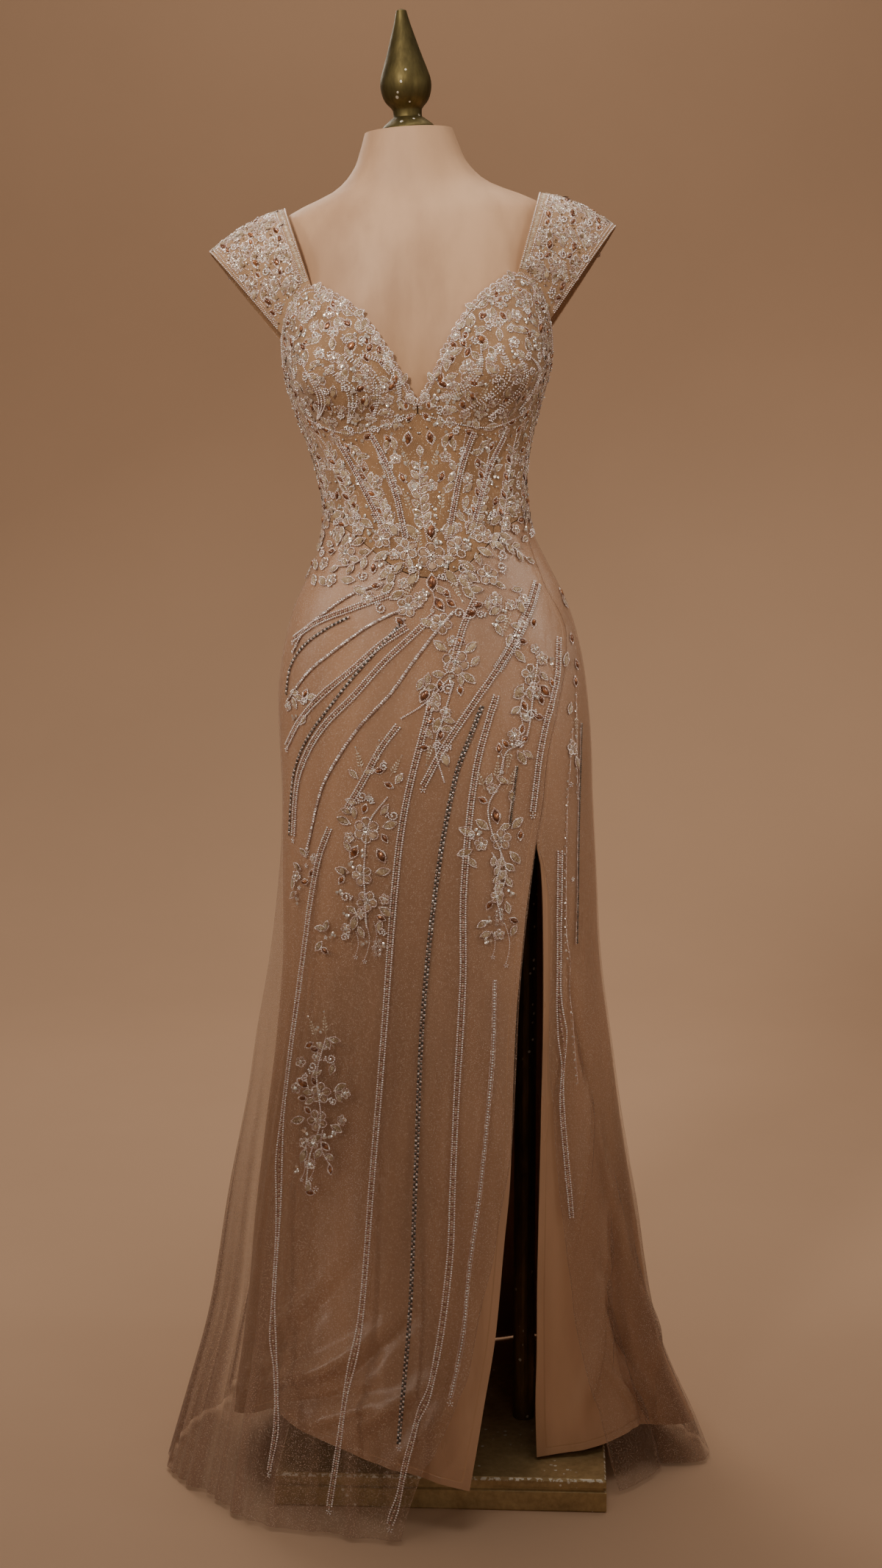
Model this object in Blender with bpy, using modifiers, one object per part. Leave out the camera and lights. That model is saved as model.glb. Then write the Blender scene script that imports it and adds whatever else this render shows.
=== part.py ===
"""Slit evening gown with cap straps on a limbless dress form and gilt stand.

Frame: metres, +Z up, the gown faces -Y, +X is its right as it is looked at.
The origin is the middle of the stand's underside. All tables are in millimetres
and degrees. Angles run round the body: 0 at the front, +90 at +X, 180 behind.
"""

import math
from bisect import bisect_right
from collections import namedtuple
from functools import lru_cache

import bmesh
import bpy
from mathutils import Vector

MM = 0.001
SEAM_GAP = 0.8  # between two cloth pieces, mm

# ---- driving dimensions, mm -------------------------------------------------
FORM_BOTTOM = 790.0
FORM_TOP = 1513.0
LEAN_TILT = 0.062  # rise of the shoulders and the neck towards +X, per mm
LEAN_LOW, LEAN_HIGH = 900.0, 1400.0
BODY_SHIFT = Vector((-7, -10, 0))  # from the stand's middle to the body's line

BASE_WIDTH, BASE_DEPTH = 371.0, 320.0
BASE_YAW = math.radians(-2.9)
POLE_RADIUS = 12.5
POLE_X = 90.5
STAND_GAP = 0.3

# How far each layer of cloth lies off the form: inner face, outer face, mm.
Layer = namedtuple("Layer", "inner outer")
BODICE = Layer(2.4, 3.9)
SATIN = Layer(2.0, 3.4)
TULLE = Layer(3.9, 5.0)
STRAP = Layer(-0.7, 0.7)
BEAD_BAND = Layer(0.9, 2.4)  # off the tulle's outer face
APPLIQUE = Layer(0.8, 2.8)
WAIST_APPLIQUE = Layer(6.2, 8.2)  # off the form, as the bones are
BONE = Layer(4.8, 6.2)

# ---- the body's sections, from the floor to the neck -------------------------
# half is half the width; front and back are depths ahead of and behind its line.
Section = namedtuple("Section", "height centre half front back")
SECTIONS = (
    Section(0, 30, 268, 205, 352),
    Section(47, 24, 257, 197, 330),
    Section(120, 13, 238, 186, 290),
    Section(200, 7, 223, 174, 256),
    Section(300, 4, 212, 160, 224),
    Section(400, 2, 199, 145, 197),
    Section(500, 2, 187, 130, 174),
    Section(600, 0, 177, 118, 155),
    Section(700, -2, 174, 111, 140),
    Section(790, -4, 171, 107, 131),
    Section(845, -6, 171, 106, 134),
    Section(900, -9, 169, 104, 132),
    Section(950, -10, 162, 101, 123),
    Section(1000, -11, 148, 97, 109),
    Section(1045, -12, 126, 92, 97),
    Section(1080, -15, 112, 88, 91),
    Section(1110, -17, 109, 86, 89),
    Section(1140, -20, 111, 86, 90),
    Section(1180, -23, 119, 87, 94),
    Section(1220, -25, 132, 89, 99),
    Section(1260, -25, 142, 90, 104),
    Section(1300, -27, 148, 92, 108),
    Section(1340, -28, 154, 91, 107),
    Section(1380, -30, 158, 83, 95),
    Section(1408, -31, 155, 73, 80),
    Section(1426, -31, 145, 65, 70),
    Section(1438, -32, 124, 59, 65),
    Section(1455, -32, 85, 53, 65),
    Section(1475, -33, 64, 50, 60),
    Section(1495, -34, 55, 48, 57),
    Section(1513, -35, 49, 46, 54),
)

# Each bust cup's swell.
BUST_ANGLE, BUST_HEIGHT, BUST_SWELL = 36.0, 1256.0, 34.0
BUST_SPREAD, BUST_ABOVE, BUST_BELOW = 24.0, 64.0, 42.0

# How far the tulle stands off the satin at each height, towards each side.
Flare = namedtuple("Flare", "height left right front back")
FLARES = (
    Flare(0, 67, 2, 38, 30),
    Flare(70, 56, 2, 32, 25),
    Flare(160, 42, 2, 23, 18),
    Flare(250, 35, 2, 17, 13),
    Flare(340, 30, 2, 11, 9),
    Flare(430, 24, 1, 7, 6),
    Flare(515, 22, 1, 4, 4),
    Flare(600, 14, 1, 2, 2),
    Flare(700, 3, 0, 1, 1),
    Flare(760, 0, 0, 0, 0),
)

# Soft folds of the skirt: ridges have a positive depth, troughs a negative one.
# Each runs from its angle at the top to its angle at the hem and deepens downwards.
Fold = namedtuple("Fold", "hem_angle top_angle spread depth top")
FOLDS = (
    Fold(-80, -84, 9, 10, 620),
    Fold(-62, -70, 9, -9, 600),
    Fold(-45, -52, 8, 7, 560),
    Fold(-29, -32, 8, -6, 520),
    Fold(-12, -12, 7, -7, 620),
    Fold(1, 3, 7, 5, 560),
    Fold(36, 42, 9, 10, 560),
    Fold(66, 66, 10, -34, 560),
    Fold(86, 84, 9, 14, 640),
    Fold(105, 103, 8, -20, 640),
    Fold(122, 120, 9, 20, 680),
    Fold(140, 139, 8, -24, 640),
    Fold(158, 158, 9, 22, 700),
    Fold(177, 178, 9, -22, 660),
    Fold(196, 196, 9, 22, 700),
    Fold(214, 215, 8, -24, 640),
    Fold(232, 233, 9, 20, 680),
    Fold(250, 252, 8, -20, 640),
)

# The panel beyond the slit falls back from it by this much.
SetBack = namedtuple("SetBack", "height shift")
SET_BACKS = (
    SetBack(0, 88),
    SetBack(50, 80),
    SetBack(200, 55),
    SetBack(400, 30),
    SetBack(600, 8),
    SetBack(750, 0),
)
SET_BACK_FULL, SET_BACK_NONE = 38.0, 88.0

# Angles of the grid lines that the satin's and the tulle's panels share.
FRONT_SHARED, RIGHT_SHARED, RIGHT_SHARED_GAP = -20.0, 52.0, 8.0

# ---- edges of the pieces -----------------------------------------------------
# The seam from the waist to the slit's top, then the slit's edges, each as an
# x (mm) at a height: the satin's and the tulle's, on both sides of the slit.
Edge = namedtuple("Edge", "height x")
SEAM_ROWS = (
    Edge(747, 106),
    Edge(780, 112),
    Edge(844, 119),
    Edge(908, 133),
    Edge(940, 139),
    Edge(980, 138),
    Edge(1030, 112),
    Edge(1110, 86),
)
SATIN_SLIT_LEFT = (
    Edge(40, 31),
    Edge(134, 51),
    Edge(219, 66),
    Edge(388, 79),
    Edge(553, 85),
    Edge(634, 92),
    Edge(675, 96),
) + SEAM_ROWS
SATIN_SLIT_RIGHT = (
    Edge(40, 119),
    Edge(134, 116),
    Edge(388, 115),
    Edge(553, 116),
    Edge(675, 114),
    Edge(720, 111),
) + SEAM_ROWS
TULLE_SLIT_LEFT = (
    Edge(0, -45),
    Edge(20, -40),
    Edge(73, -20),
    Edge(110, 0),
    Edge(147, 17),
    Edge(185, 31),
    Edge(240, 43),
    Edge(318, 61),
    Edge(434, 79),
    Edge(600, 89),
) + SEAM_ROWS
TULLE_SLIT_RIGHT = (
    Edge(0, 203),
    Edge(37, 192),
    Edge(68, 185),
    Edge(130, 167),
    Edge(200, 151),
    Edge(289, 140),
    Edge(377, 130),
    Edge(506, 121),
    Edge(670, 121),
    Edge(720, 113),
) + SEAM_ROWS

# The bodice's top edge and the seam under the cups, at each angle off the front.
Rim = namedtuple("Rim", "angle height")
TOP_EDGE = (
    Rim(0, 1219),
    Rim(5, 1239),
    Rim(9, 1259),
    Rim(15, 1292),
    Rim(20, 1311),
    Rim(29, 1334),
    Rim(43, 1349),
    Rim(55, 1334),
    Rim(69, 1302),
    Rim(80, 1272),
    Rim(90, 1262),
    Rim(100, 1266),
    Rim(110, 1284),
    Rim(124, 1312),
    Rim(137, 1325),
    Rim(150, 1290),
    Rim(165, 1228),
    Rim(180, 1196),
)
UNDERBUST = (
    Rim(0, 1211),
    Rim(16, 1200),
    Rim(36, 1194),
    Rim(50, 1202),
    Rim(64, 1216),
)
WAIST_SIDE, WAIST_POINT, WAIST_POINT_SPREAD = 1098.0, 62.0, 38.0
WAIST_GAP = 1.2

# The hems' heights off the floor: the satin hitches up in front on the slit's far side.
Hem = namedtuple("Hem", "angle height")
SATIN_HEM = (
    Hem(-180, 47),
    Hem(-115, 47),
    Hem(-90, 53),
    Hem(-72, 74),
    Hem(-56, 98),
    Hem(-44, 92),
    Hem(-32, 78),
    Hem(-18, 64),
    Hem(-4, 52),
    Hem(10, 42),
    Hem(30, 46),
    Hem(60, 52),
    Hem(90, 47),
    Hem(180, 47),
)
TULLE_HEM = (Hem(-180, 4), Hem(180, 4))

# Angles of the corset seams at the waist, and at the underbust or above.
CorsetSeam = namedtuple("CorsetSeam", "waist upper")
INNER_SEAM = CorsetSeam(9, 24)
OUTER_SEAM = CorsetSeam(34, 62)
SIDE_SEAM = CorsetSeam(92, 94)
CORSET_LOW, CORSET_HIGH = 1040.0, 1205.0
# Half the gaps between the cups, between the backs and at the skirt's seams, degrees.
CUP_HALF_GAP, BACK_HALF_GAP, CUP_EDGE_GAP, SKIRT_HALF_GAP = 0.35, 0.4, 0.2, 0.25

# Where each strap meets the bodice (angles), and its crown over the shoulder.
STRAP_INNER_FRONT, STRAP_OUTER_FRONT = 43.0, 69.0
STRAP_INNER_BACK, STRAP_OUTER_BACK = 137.0, 110.0
STRAP_CROWN_INNER = Vector((137, 0, 1437))
STRAP_CROWN_OUTER = Vector((221, 0, 1397))
STRAP_CROWN_LEVEL = 1408.0  # the section whose middle the straps arch about
STRAP_PUFF, STRAP_RISE, STRAP_GAP = 7.0, 0.5, 1.0

# ---- trimmings ----------------------------------------------------------------
# Beaded bands, each a line of places (x, height in mm) down the front.
BAND_WIDTH = 6.4
BAND_STEP, LONG_BAND_STEP, LONG_BAND_FOOT = 11.0, 32.0, 300.0
BANDS = {
    "band_hip_1": ((-55, 1018), (-103, 1000), (-137, 985), (-163, 965)),
    "band_hip_2": ((-20, 1006), (-47, 1000), (-79, 984), (-112, 960), (-145, 932), (-170, 898)),
    "band_hip_3": ((-36, 984), (-63, 966), (-95, 938), (-128, 909), (-157, 875), (-172, 846)),
    "band_hip_4": (
        (-6, 998), (-32, 974), (-63, 945), (-95, 909), (-127, 876), (-148, 842), (-160, 805), (-165, 745),
    ),
    "band_hip_5": (
        (14, 1000), (-8, 975), (-32, 944), (-55, 912), (-87, 878), (-111, 844), (-131, 806), (-149, 735),
    ),
    "band_long_1": (
        (-123, 762), (-135, 727), (-148, 655), (-171, 469), (-182, 311), (-186, 199), (-180, 110), (-188, 60),
    ),
    "band_long_2": (
        (-12, 898), (-37, 800), (-48, 727), (-62, 547), (-75, 391), (-89, 235), (-105, 139), (-123, 30),
    ),
    "band_sweep": ((106, 1026), (97, 1000), (74, 956), (41, 909), (2, 852), (-20, 812)),
    "band_long_3": (
        (45, 899), (36, 876), (16, 822), (-6, 700), (-21, 547), (-27, 400), (-33, 250), (-47, 104),
    ),
    "band_long_4": (
        (60, 910), (38, 828), (25, 700), (24, 595), (12, 375), (9, 300), (-6, 190), (-37, 90), (-55, 20),
    ),
    "band_slit_top": ((130, 968), (128, 925), (119, 890), (109, 844), (101, 780)),
    "band_slit_edge": ((59, 599), (55, 493), (43, 375), (31, 289), (20, 200), (10, 155)),
}
RIGHT_BAND = ((132, 735), (132, 600), (134, 469), (140, 391), (147, 320))

# Corset bones: x and height of the top, the middle and the foot.
BONE_WIDTH = 5.0
BONES = {
    "bone_inner_left": ((-74, 1190), (-54, 1146), (-38, 1078)),
    "bone_inner_right": ((35, 1190), (21, 1146), (8, 1078)),
    "bone_outer_left": ((-110, 1184), (-90, 1146), (-60, 1084)),
    "bone_outer_right": ((68, 1184), (51, 1146), (34, 1084)),
}

# Appliqué sprays: a spine with a width that swells at each flower head.
SPRAY_NECK, SPRAY_ROUNDNESS, ROWS_PER_HEAD = 0.25, 0.8, 5
Spray = namedtuple("Spray", "spine width heads")
SPRAYS = {
    "applique_waist_left": Spray(((-118, 1082), (-80, 1066), (-44, 1050), (-12, 1038)), 30, 3),
    "applique_waist_right": Spray(((-4, 1036), (26, 1052), (58, 1068), (90, 1084)), 30, 3),
    "applique_thigh_left": Spray(((-68, 842), (-84, 800), (-88, 740), (-84, 690), (-92, 640)), 30, 4),
    "applique_thigh_right": Spray(((70, 850), (60, 800), (66, 742), (64, 700)), 28, 3),
    "applique_hip_left": Spray(((34, 972), (16, 948), (-2, 924)), 22, 2),
    "applique_hip_right": Spray(((104, 952), (100, 915), (88, 880)), 24, 2),
    "applique_knee": Spray(((-132, 545), (-138, 490), (-136, 440), (-146, 385)), 26, 4),
}

# ---- the stand: radii and heights (mm), from the finial's tip down ----------------
FINIAL_PROFILE = (
    (0, 127), (5.5, 125), (9, 111), (14.5, 93), (19.5, 77), (25, 61), (27.5, 51), (27, 41), (23.5, 31),
    (17, 23.5), (15.6, 20), (15.6, 14), (17.5, 12.5), (24, 7.5), (28.5, 3), (29, 0), (0, 0),
)
# Heights of the moulded base and how far each lies in from its full size.
BASE_PROFILE = ((0, 1.5), (2, 0), (23, 0), (24.5, 3.5), (27.5, 3.5), (29, 0.5), (36, 0.5), (39, 3))

# ---- colours: base colour, roughness, metallic -------------------------------
Finish = namedtuple("Finish", "colour roughness metallic")
FINISHES = {
    "champagne_satin": Finish((0.60, 0.40, 0.24, 1), 0.38, 0.0),
    "glitter_tulle": Finish((0.55, 0.36, 0.23, 1), 0.60, 0.0),
    "nude_mesh": Finish((0.52, 0.30, 0.17, 1), 0.70, 0.0),
    "silver_rose_beading": Finish((0.72, 0.56, 0.47, 1), 0.30, 0.4),
    "form_jersey": Finish((0.66, 0.46, 0.34, 1), 0.60, 0.0),
    "old_gilt": Finish((0.33, 0.25, 0.10, 1), 0.42, 0.8),
}

# Grid sizes, columns round the body and rows down it.
Mesh = namedtuple("Mesh", "columns rows")
FORM_COLUMNS, FORM_EXTRA_RINGS = 26, (1200, 1240, 1280)
FORM_INSET = 1.5
CUP_MESH, CORSET_MESH, BACK_MESH = Mesh(11, 8), Mesh(5, 7), Mesh(9, 8)
STRAP_MESH = Mesh(5, 12)
FINIAL_STEPS, POLE_SEGMENTS = 16, 24
SHARP_ANGLE = math.radians(40)
# The skirt's rows lie at these heights in both layers, so that the layers nest;
# the last few share the distance from there to the waist seam.
SKIRT_LEVELS = (140, 260, 380, 490, 590, 670, 730, 790, 845, 890, 930, 970, 1005)
WAIST_ROWS = 3


# ---- tables read on smooth curves ---------------------------------------------
def read_rows(rows, key):
    """A table's values at a key, on a smooth curve through its rows."""
    last = len(rows) - 1
    low = min(max(bisect_right([row[0] for row in rows], key) - 1, 0), last - 1)
    here, there = rows[low], rows[low + 1]
    before, after = rows[max(low - 1, 0)], rows[min(low + 2, last)]
    span = there[0] - here[0]
    step = min(max((key - here[0]) / span, 0.0), 1.0)
    square, cube = step * step, step**3
    values = []
    for column in range(1, len(here)):
        slope_here = (there[column] - before[column]) / (there[0] - before[0]) * span
        slope_there = (after[column] - here[column]) / (after[0] - here[0]) * span
        values.append(
            here[column] * (2 * cube - 3 * square + 1)
            + slope_here * (cube - 2 * square + step)
            + there[column] * (3 * square - 2 * cube)
            + slope_there * (cube - square)
        )
    return values


def ease(low, high, value):
    """0 below low, 1 above high, and a soft step between."""
    step = min(max((value - low) / (high - low), 0.0), 1.0)
    return step * step * (3 - 2 * step)


def turn_between(angle, other):
    """The shortest turn from one angle to another, degrees."""
    return abs((angle - other + 180.0) % 360.0 - 180.0)


# ---- the skin -------------------------------------------------------------------
@lru_cache(maxsize=None)
def section_at(height):
    return Section(height, *read_rows(SECTIONS, height))


def bust_swell(angle, height):
    spread = BUST_ABOVE if height > BUST_HEIGHT else BUST_BELOW
    rise = math.exp(-(((height - BUST_HEIGHT) / spread) ** 2))
    return sum(
        BUST_SWELL * rise * math.exp(-((turn_between(angle, side) / BUST_SPREAD) ** 2))
        for side in (BUST_ANGLE, -BUST_ANGLE)
    )


def fold_swell(angle, height):
    swell = 0.0
    for fold in FOLDS:
        if height < fold.top:
            growth = (fold.top - height) / fold.top
            middle = fold.hem_angle + (fold.top_angle - fold.hem_angle) * (1 - growth)
            turn = turn_between(angle, middle) / fold.spread
            swell += fold.depth * growth**1.3 * math.exp(-turn * turn)
    return swell


def tulle_flare(angle, height):
    left, right, front, back = read_rows(FLARES, height)
    side, ahead = math.sin(math.radians(angle)), math.cos(math.radians(angle))
    sideways = right if side > 0 else left
    lengthways = front if ahead > 0 else back
    return sideways * side * side + lengthways * ahead * ahead


def skin(angle, height, tulle=False, beyond_slit=False):
    """A place on the form, or on the skirt below it, in mm."""
    section = section_at(height)
    side, ahead = math.sin(math.radians(angle)), math.cos(math.radians(angle))
    swell = bust_swell(angle, height) + fold_swell(angle, height)
    if tulle:
        swell += tulle_flare(angle, height)
    depth = section.front if ahead > 0 else section.back
    across = (section.half + swell) * side
    along = -(depth + swell) * ahead
    if beyond_slit:
        fall = 1 - ease(SET_BACK_FULL, SET_BACK_NONE, angle)
        along += read_rows(SET_BACKS, height)[0] * fall
    lift = LEAN_TILT * across * ease(LEAN_LOW, LEAN_HIGH, height)
    return Vector((section.centre + across, along, height + lift)) + BODY_SHIFT


def off_skin(angle, height, out, **which):
    """A place that far off the skin, square to it, in mm."""
    turn, rise = 0.5, 2.0
    low, high = max(height - rise, 0.0), min(height + rise, FORM_TOP)
    round_it = skin(angle + turn, height, **which) - skin(angle - turn, height, **which)
    up_it = skin(angle, high, **which) - skin(angle, low, **which)
    return skin(angle, height, **which) + round_it.cross(up_it).normalized() * out


SIDE_LIMIT = 0.985  # the sine of the outermost front angle an edge may reach


def angle_at(x, height):
    """The front angle whose place on the skin has this x."""
    section = section_at(height)
    angle = 0.0
    for _ in range(4):
        reach = section.half + TULLE.outer + fold_swell(angle, height) + tulle_flare(angle, height)
        sine = min(max((x - section.centre) / reach, -SIDE_LIMIT), SIDE_LIMIT)
        angle = math.degrees(math.asin(sine))
    return angle


def waist_height(angle):
    """The seam between bodice and skirt, which dips to a point in front."""
    return WAIST_SIDE - WAIST_POINT * math.exp(-((angle / WAIST_POINT_SPREAD) ** 2))


def between(low, high, part):
    return low + (high - low) * part


# ---- solids ---------------------------------------------------------------------
def clear_scene():
    for thing in list(bpy.data.objects):
        bpy.data.objects.remove(thing, do_unlink=True)


def make_material(name):
    finish = FINISHES[name]
    material = bpy.data.materials.get(name) or bpy.data.materials.new(name)
    material.use_nodes = True
    surface = material.node_tree.nodes["Principled BSDF"]
    surface.inputs["Base Color"].default_value = finish.colour
    surface.inputs["Roughness"].default_value = finish.roughness
    surface.inputs["Metallic"].default_value = finish.metallic
    return material


def add_object(name, mesh, finish):
    """The mesh, its faces turned outwards, as a smooth-shaded object."""
    if mesh.calc_volume(signed=True) < 0:
        bmesh.ops.reverse_faces(mesh, faces=mesh.faces[:])
    data = bpy.data.meshes.new(name)
    mesh.to_mesh(data)
    mesh.free()
    data.shade_smooth()
    data.set_sharp_from_angle(angle=SHARP_ANGLE)
    data.materials.append(make_material(finish))
    thing = bpy.data.objects.new(name, data)
    bpy.data.collections["evening_gown"].objects.link(thing)
    return thing


def add_wall(name, size, place, finish):
    """A closed wall: a unit grid in two layers, each corner sent to its place.

    place(u, v, w) gives the point in mm: u and v run over the piece from 0 to 1,
    and w is 0 on its inner face and 1 on its outer one.
    """
    mesh = bmesh.new()
    bmesh.ops.create_grid(mesh, x_segments=size.columns, y_segments=size.rows, size=0.5)
    grown = bmesh.ops.extrude_face_region(mesh, geom=mesh.faces[:])
    for corner in grown["geom"]:
        if isinstance(corner, bmesh.types.BMVert):
            corner.co.z = 1.0
    bmesh.ops.recalc_face_normals(mesh, faces=mesh.faces[:])
    for corner in mesh.verts:
        corner.co = place(corner.co.x + 0.5, corner.co.y + 0.5, corner.co.z) * MM
    return add_object(name, mesh, finish)


def panel_place(layer, left, right, top, foot, **which):
    """A place function for a skirt or bodice panel between its four edges.

    left and right give an angle at a height; top and foot a height at an angle.
    """

    def place(u, v, w):
        height = 0.5 * (top(0) + foot(0))
        for _ in range(4):
            angle = between(left(height), right(height), u)
            height = between(foot(angle), top(angle), v)
        return off_skin(angle, height, between(layer.inner, layer.outer, w), **which)

    return place


def fixed(value):
    return lambda _: value


def slit_edge(rows, shift):
    return lambda height: angle_at(read_rows(rows, height)[0] + shift, height)


def corset_seam(seam, sign, shift=0.0):
    """A corset seam's angle at each height, on one side of the front."""

    def angle(height):
        part = ease(CORSET_LOW, CORSET_HIGH, height)
        gap = math.degrees(shift / section_at(height).half)
        return sign * (between(seam.waist, seam.upper, part) + gap)

    return angle


def rim(rows, shift=0.0):
    return lambda angle: read_rows(rows, turn_between(angle, 0))[0] + shift


# ---- the gown --------------------------------------------------------------------
def build_bodice():
    """Corset panels, two cups and two backs, with the seams a hair apart."""
    half_gap = SEAM_GAP / 2
    waist = lambda angle: waist_height(angle) + WAIST_GAP / 2
    under = rim(UNDERBUST, -half_gap)
    over = rim(UNDERBUST, half_gap)
    top = rim(TOP_EDGE)
    add_wall(
        "bodice_centre_front",
        CORSET_MESH,
        panel_place(
            BODICE,
            corset_seam(INNER_SEAM, -1, -half_gap),
            corset_seam(INNER_SEAM, 1, -half_gap),
            under,
            waist,
        ),
        "nude_mesh",
    )
    for side, sign in (("left", -1), ("right", 1)):
        inner = corset_seam(INNER_SEAM, sign, half_gap)
        outer = corset_seam(OUTER_SEAM, sign, -half_gap)
        outer_behind = corset_seam(OUTER_SEAM, sign, half_gap)
        seam = corset_seam(SIDE_SEAM, sign, -half_gap)
        seam_behind = corset_seam(SIDE_SEAM, sign, half_gap)
        middle = fixed(sign * CUP_HALF_GAP)
        centre_back = fixed(sign * (180 - BACK_HALF_GAP))
        cup_edge = fixed(sign * (OUTER_SEAM.upper - CUP_EDGE_GAP))
        panels = (
            ("bodice_side_front_", CORSET_MESH, inner, outer, under, waist),
            ("cup_", CUP_MESH, middle, cup_edge, top, over),
            ("bodice_side_", CORSET_MESH, outer_behind, seam, top, waist),
            ("bodice_back_", BACK_MESH, seam_behind, centre_back, top, waist),
        )
        for name, size, near, far, upper, lower in panels:
            add_wall(name + side, size, panel_place(BODICE, near, far, upper, lower), "nude_mesh")


def build_straps():
    """Two wide cap straps that arch over the shoulders, clear of the form."""
    top = rim(TOP_EDGE, STRAP_GAP)
    level = (BODICE.inner + BODICE.outer) / 2
    for side, sign in (("left", -1), ("right", 1)):

        def middle_of(u, v, sign=sign):
            front_angle = sign * between(STRAP_INNER_FRONT, STRAP_OUTER_FRONT, u)
            back_angle = sign * between(STRAP_INNER_BACK, STRAP_OUTER_BACK, u)
            front = off_skin(front_angle, top(front_angle), level)
            back = off_skin(back_angle, top(back_angle), level)
            crown = STRAP_CROWN_INNER.lerp(STRAP_CROWN_OUTER, u)
            crown.z += STRAP_PUFF * math.sin(math.pi * u) + LEAN_TILT * sign * crown.x
            crown.x = section_at(STRAP_CROWN_LEVEL).centre + sign * crown.x
            crown += BODY_SHIFT
            arch = math.sin(math.pi * v) ** STRAP_RISE
            return front.lerp(back, v) + (crown - (front + back) / 2) * arch

        def place(u, v, w, sign=sign, middle_of=middle_of):
            step = 0.01
            across = middle_of(min(u + step, 1), v) - middle_of(max(u - step, 0), v)
            along = middle_of(u, min(v + step, 1)) - middle_of(u, max(v - step, 0))
            out = across.cross(along).normalized() * sign
            return middle_of(u, v) + out * between(STRAP.inner, STRAP.outer, w)

        add_wall("strap_" + side, STRAP_MESH, place, "nude_mesh")


class SkirtPanel:
    """One panel of one layer of the skirt, as a grid of angles and heights.

    Its columns run evenly from the left edge to a shared line, and evenly from
    there to the right edge, so that the satin's and the tulle's folds nest.
    """

    rows = len(SKIRT_LEVELS) + WAIST_ROWS

    def __init__(self, layer, hem, columns, left, shared, share, right, **which):
        self.layer, self.hem, self.columns, self.which = layer, hem, columns, which
        self.left, self.shared, self.share, self.right = left, shared, share, right

    def hem_at(self, angle):
        return read_rows(self.hem, (angle + 180) % 360 - 180)[0]

    def height_at(self, v, angle):
        levels = (self.hem_at(angle), *SKIRT_LEVELS)
        place = v * self.rows
        low = min(int(place), len(levels) - 1)
        if low < len(levels) - 1:
            return between(levels[low], levels[low + 1], place - low)
        head = waist_height(angle) - WAIST_GAP / 2
        return between(levels[-1], head, (place - low) / WAIST_ROWS)

    def angle_at(self, u, height):
        if u < self.share:
            return between(self.left(height), self.shared(height), u / self.share)
        part = (u - self.share) / (1 - self.share)
        return between(self.shared(height), self.right(height), part)

    def place(self, u, v, w):
        height = SKIRT_LEVELS[-1]
        for _ in range(5):
            angle = self.angle_at(u, height)
            height = self.height_at(v, angle)
        out = between(self.layer.inner, self.layer.outer, w)
        return off_skin(angle, height, out, **self.which)

    def on_facets(self, angle, height, out):
        """A place off the panel's outer facets, between its own grid corners."""
        left, shared, right = self.left(height), self.shared(height), self.right(height)
        if angle < shared:
            u = self.share * (angle - left) / (shared - left)
        else:
            u = self.share + (1 - self.share) * (angle - shared) / (right - shared)
        levels = (self.hem_at(angle), *SKIRT_LEVELS)
        low = min(max(bisect_right(levels, height) - 1, 0), len(levels) - 1)
        if low < len(levels) - 1:
            row = low + (height - levels[low]) / (levels[low + 1] - levels[low])
        else:
            head = waist_height(angle) - WAIST_GAP / 2
            row = low + WAIST_ROWS * (height - levels[-1]) / (head - levels[-1])
        column = min(max(u * self.columns, 0), self.columns - 0.001)
        row = min(max(row, 0), self.rows - 0.001)
        across, up = column - int(column), row - int(row)
        corners = [
            self.place((int(column) + side) / self.columns, (int(row) + rise) / self.rows, 1)
            for rise in (0, 1)
            for side in (0, 1)
        ]
        seat = corners[0].lerp(corners[1], across).lerp(corners[2].lerp(corners[3], across), up)
        normal = off_skin(angle, height, 1, **self.which) - skin(angle, height, **self.which)
        return seat + normal * out


def skirt_panels(layer, hem, slit_left, slit_right, tulle):
    """Front, right front and two backs of one layer of the skirt."""
    half_gap, turn = SEAM_GAP / 2, SKIRT_HALF_GAP
    front_edge = slit_edge(slit_left, -half_gap)
    right_edge = slit_edge(slit_right, half_gap)
    right_shared = lambda height: max(RIGHT_SHARED, right_edge(height) + RIGHT_SHARED_GAP)
    # name, columns, left edge, shared line, its share of the columns, right edge, beyond the slit
    rows = (
        ("front", 20, fixed(-90 + turn), fixed(FRONT_SHARED), 0.5, front_edge, False),
        ("right_front", 10, right_edge, right_shared, 0.4, fixed(90 - turn), True),
        ("back_right", 12, fixed(90 + turn), fixed(135), 0.5, fixed(180 - turn), False),
        ("back_left", 12, fixed(180 + turn), fixed(225), 0.5, fixed(270 - turn), False),
    )
    return {
        name: SkirtPanel(
            layer, hem, columns, left, shared, share, right, tulle=tulle, beyond_slit=beyond
        )
        for name, columns, left, shared, share, right, beyond in rows
    }


def lengths_along(line):
    """The length from a line's start to each of its points."""
    lengths = [0.0]
    for start, end in zip(line, line[1:]):
        lengths.append(lengths[-1] + math.dist(start, end))
    return lengths


def along_line(line, part):
    """A place on a smooth curve through a line's points, part 0 to 1 of its length."""
    lengths = lengths_along(line)
    rows = [(length, *point) for length, point in zip(lengths, line)]
    return read_rows(rows, part * lengths[-1])


def strip_place(line, half_width, onto):
    """A place function for a flat trimming of changing width along a line."""

    def place(u, v, w):
        x, height = along_line(line, v)
        ahead = along_line(line, min(v + 0.01, 1))
        behind = along_line(line, max(v - 0.01, 0))
        run = Vector((ahead[0] - behind[0], ahead[1] - behind[1])).normalized()
        off = between(-1, 1, u) * half_width(v)
        return onto(x + run.y * off, height - run.x * off, w)

    return place


def strip_mesh(line, columns, step):
    return Mesh(columns, max(4, round(lengths_along(line)[-1] / step)))


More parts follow.
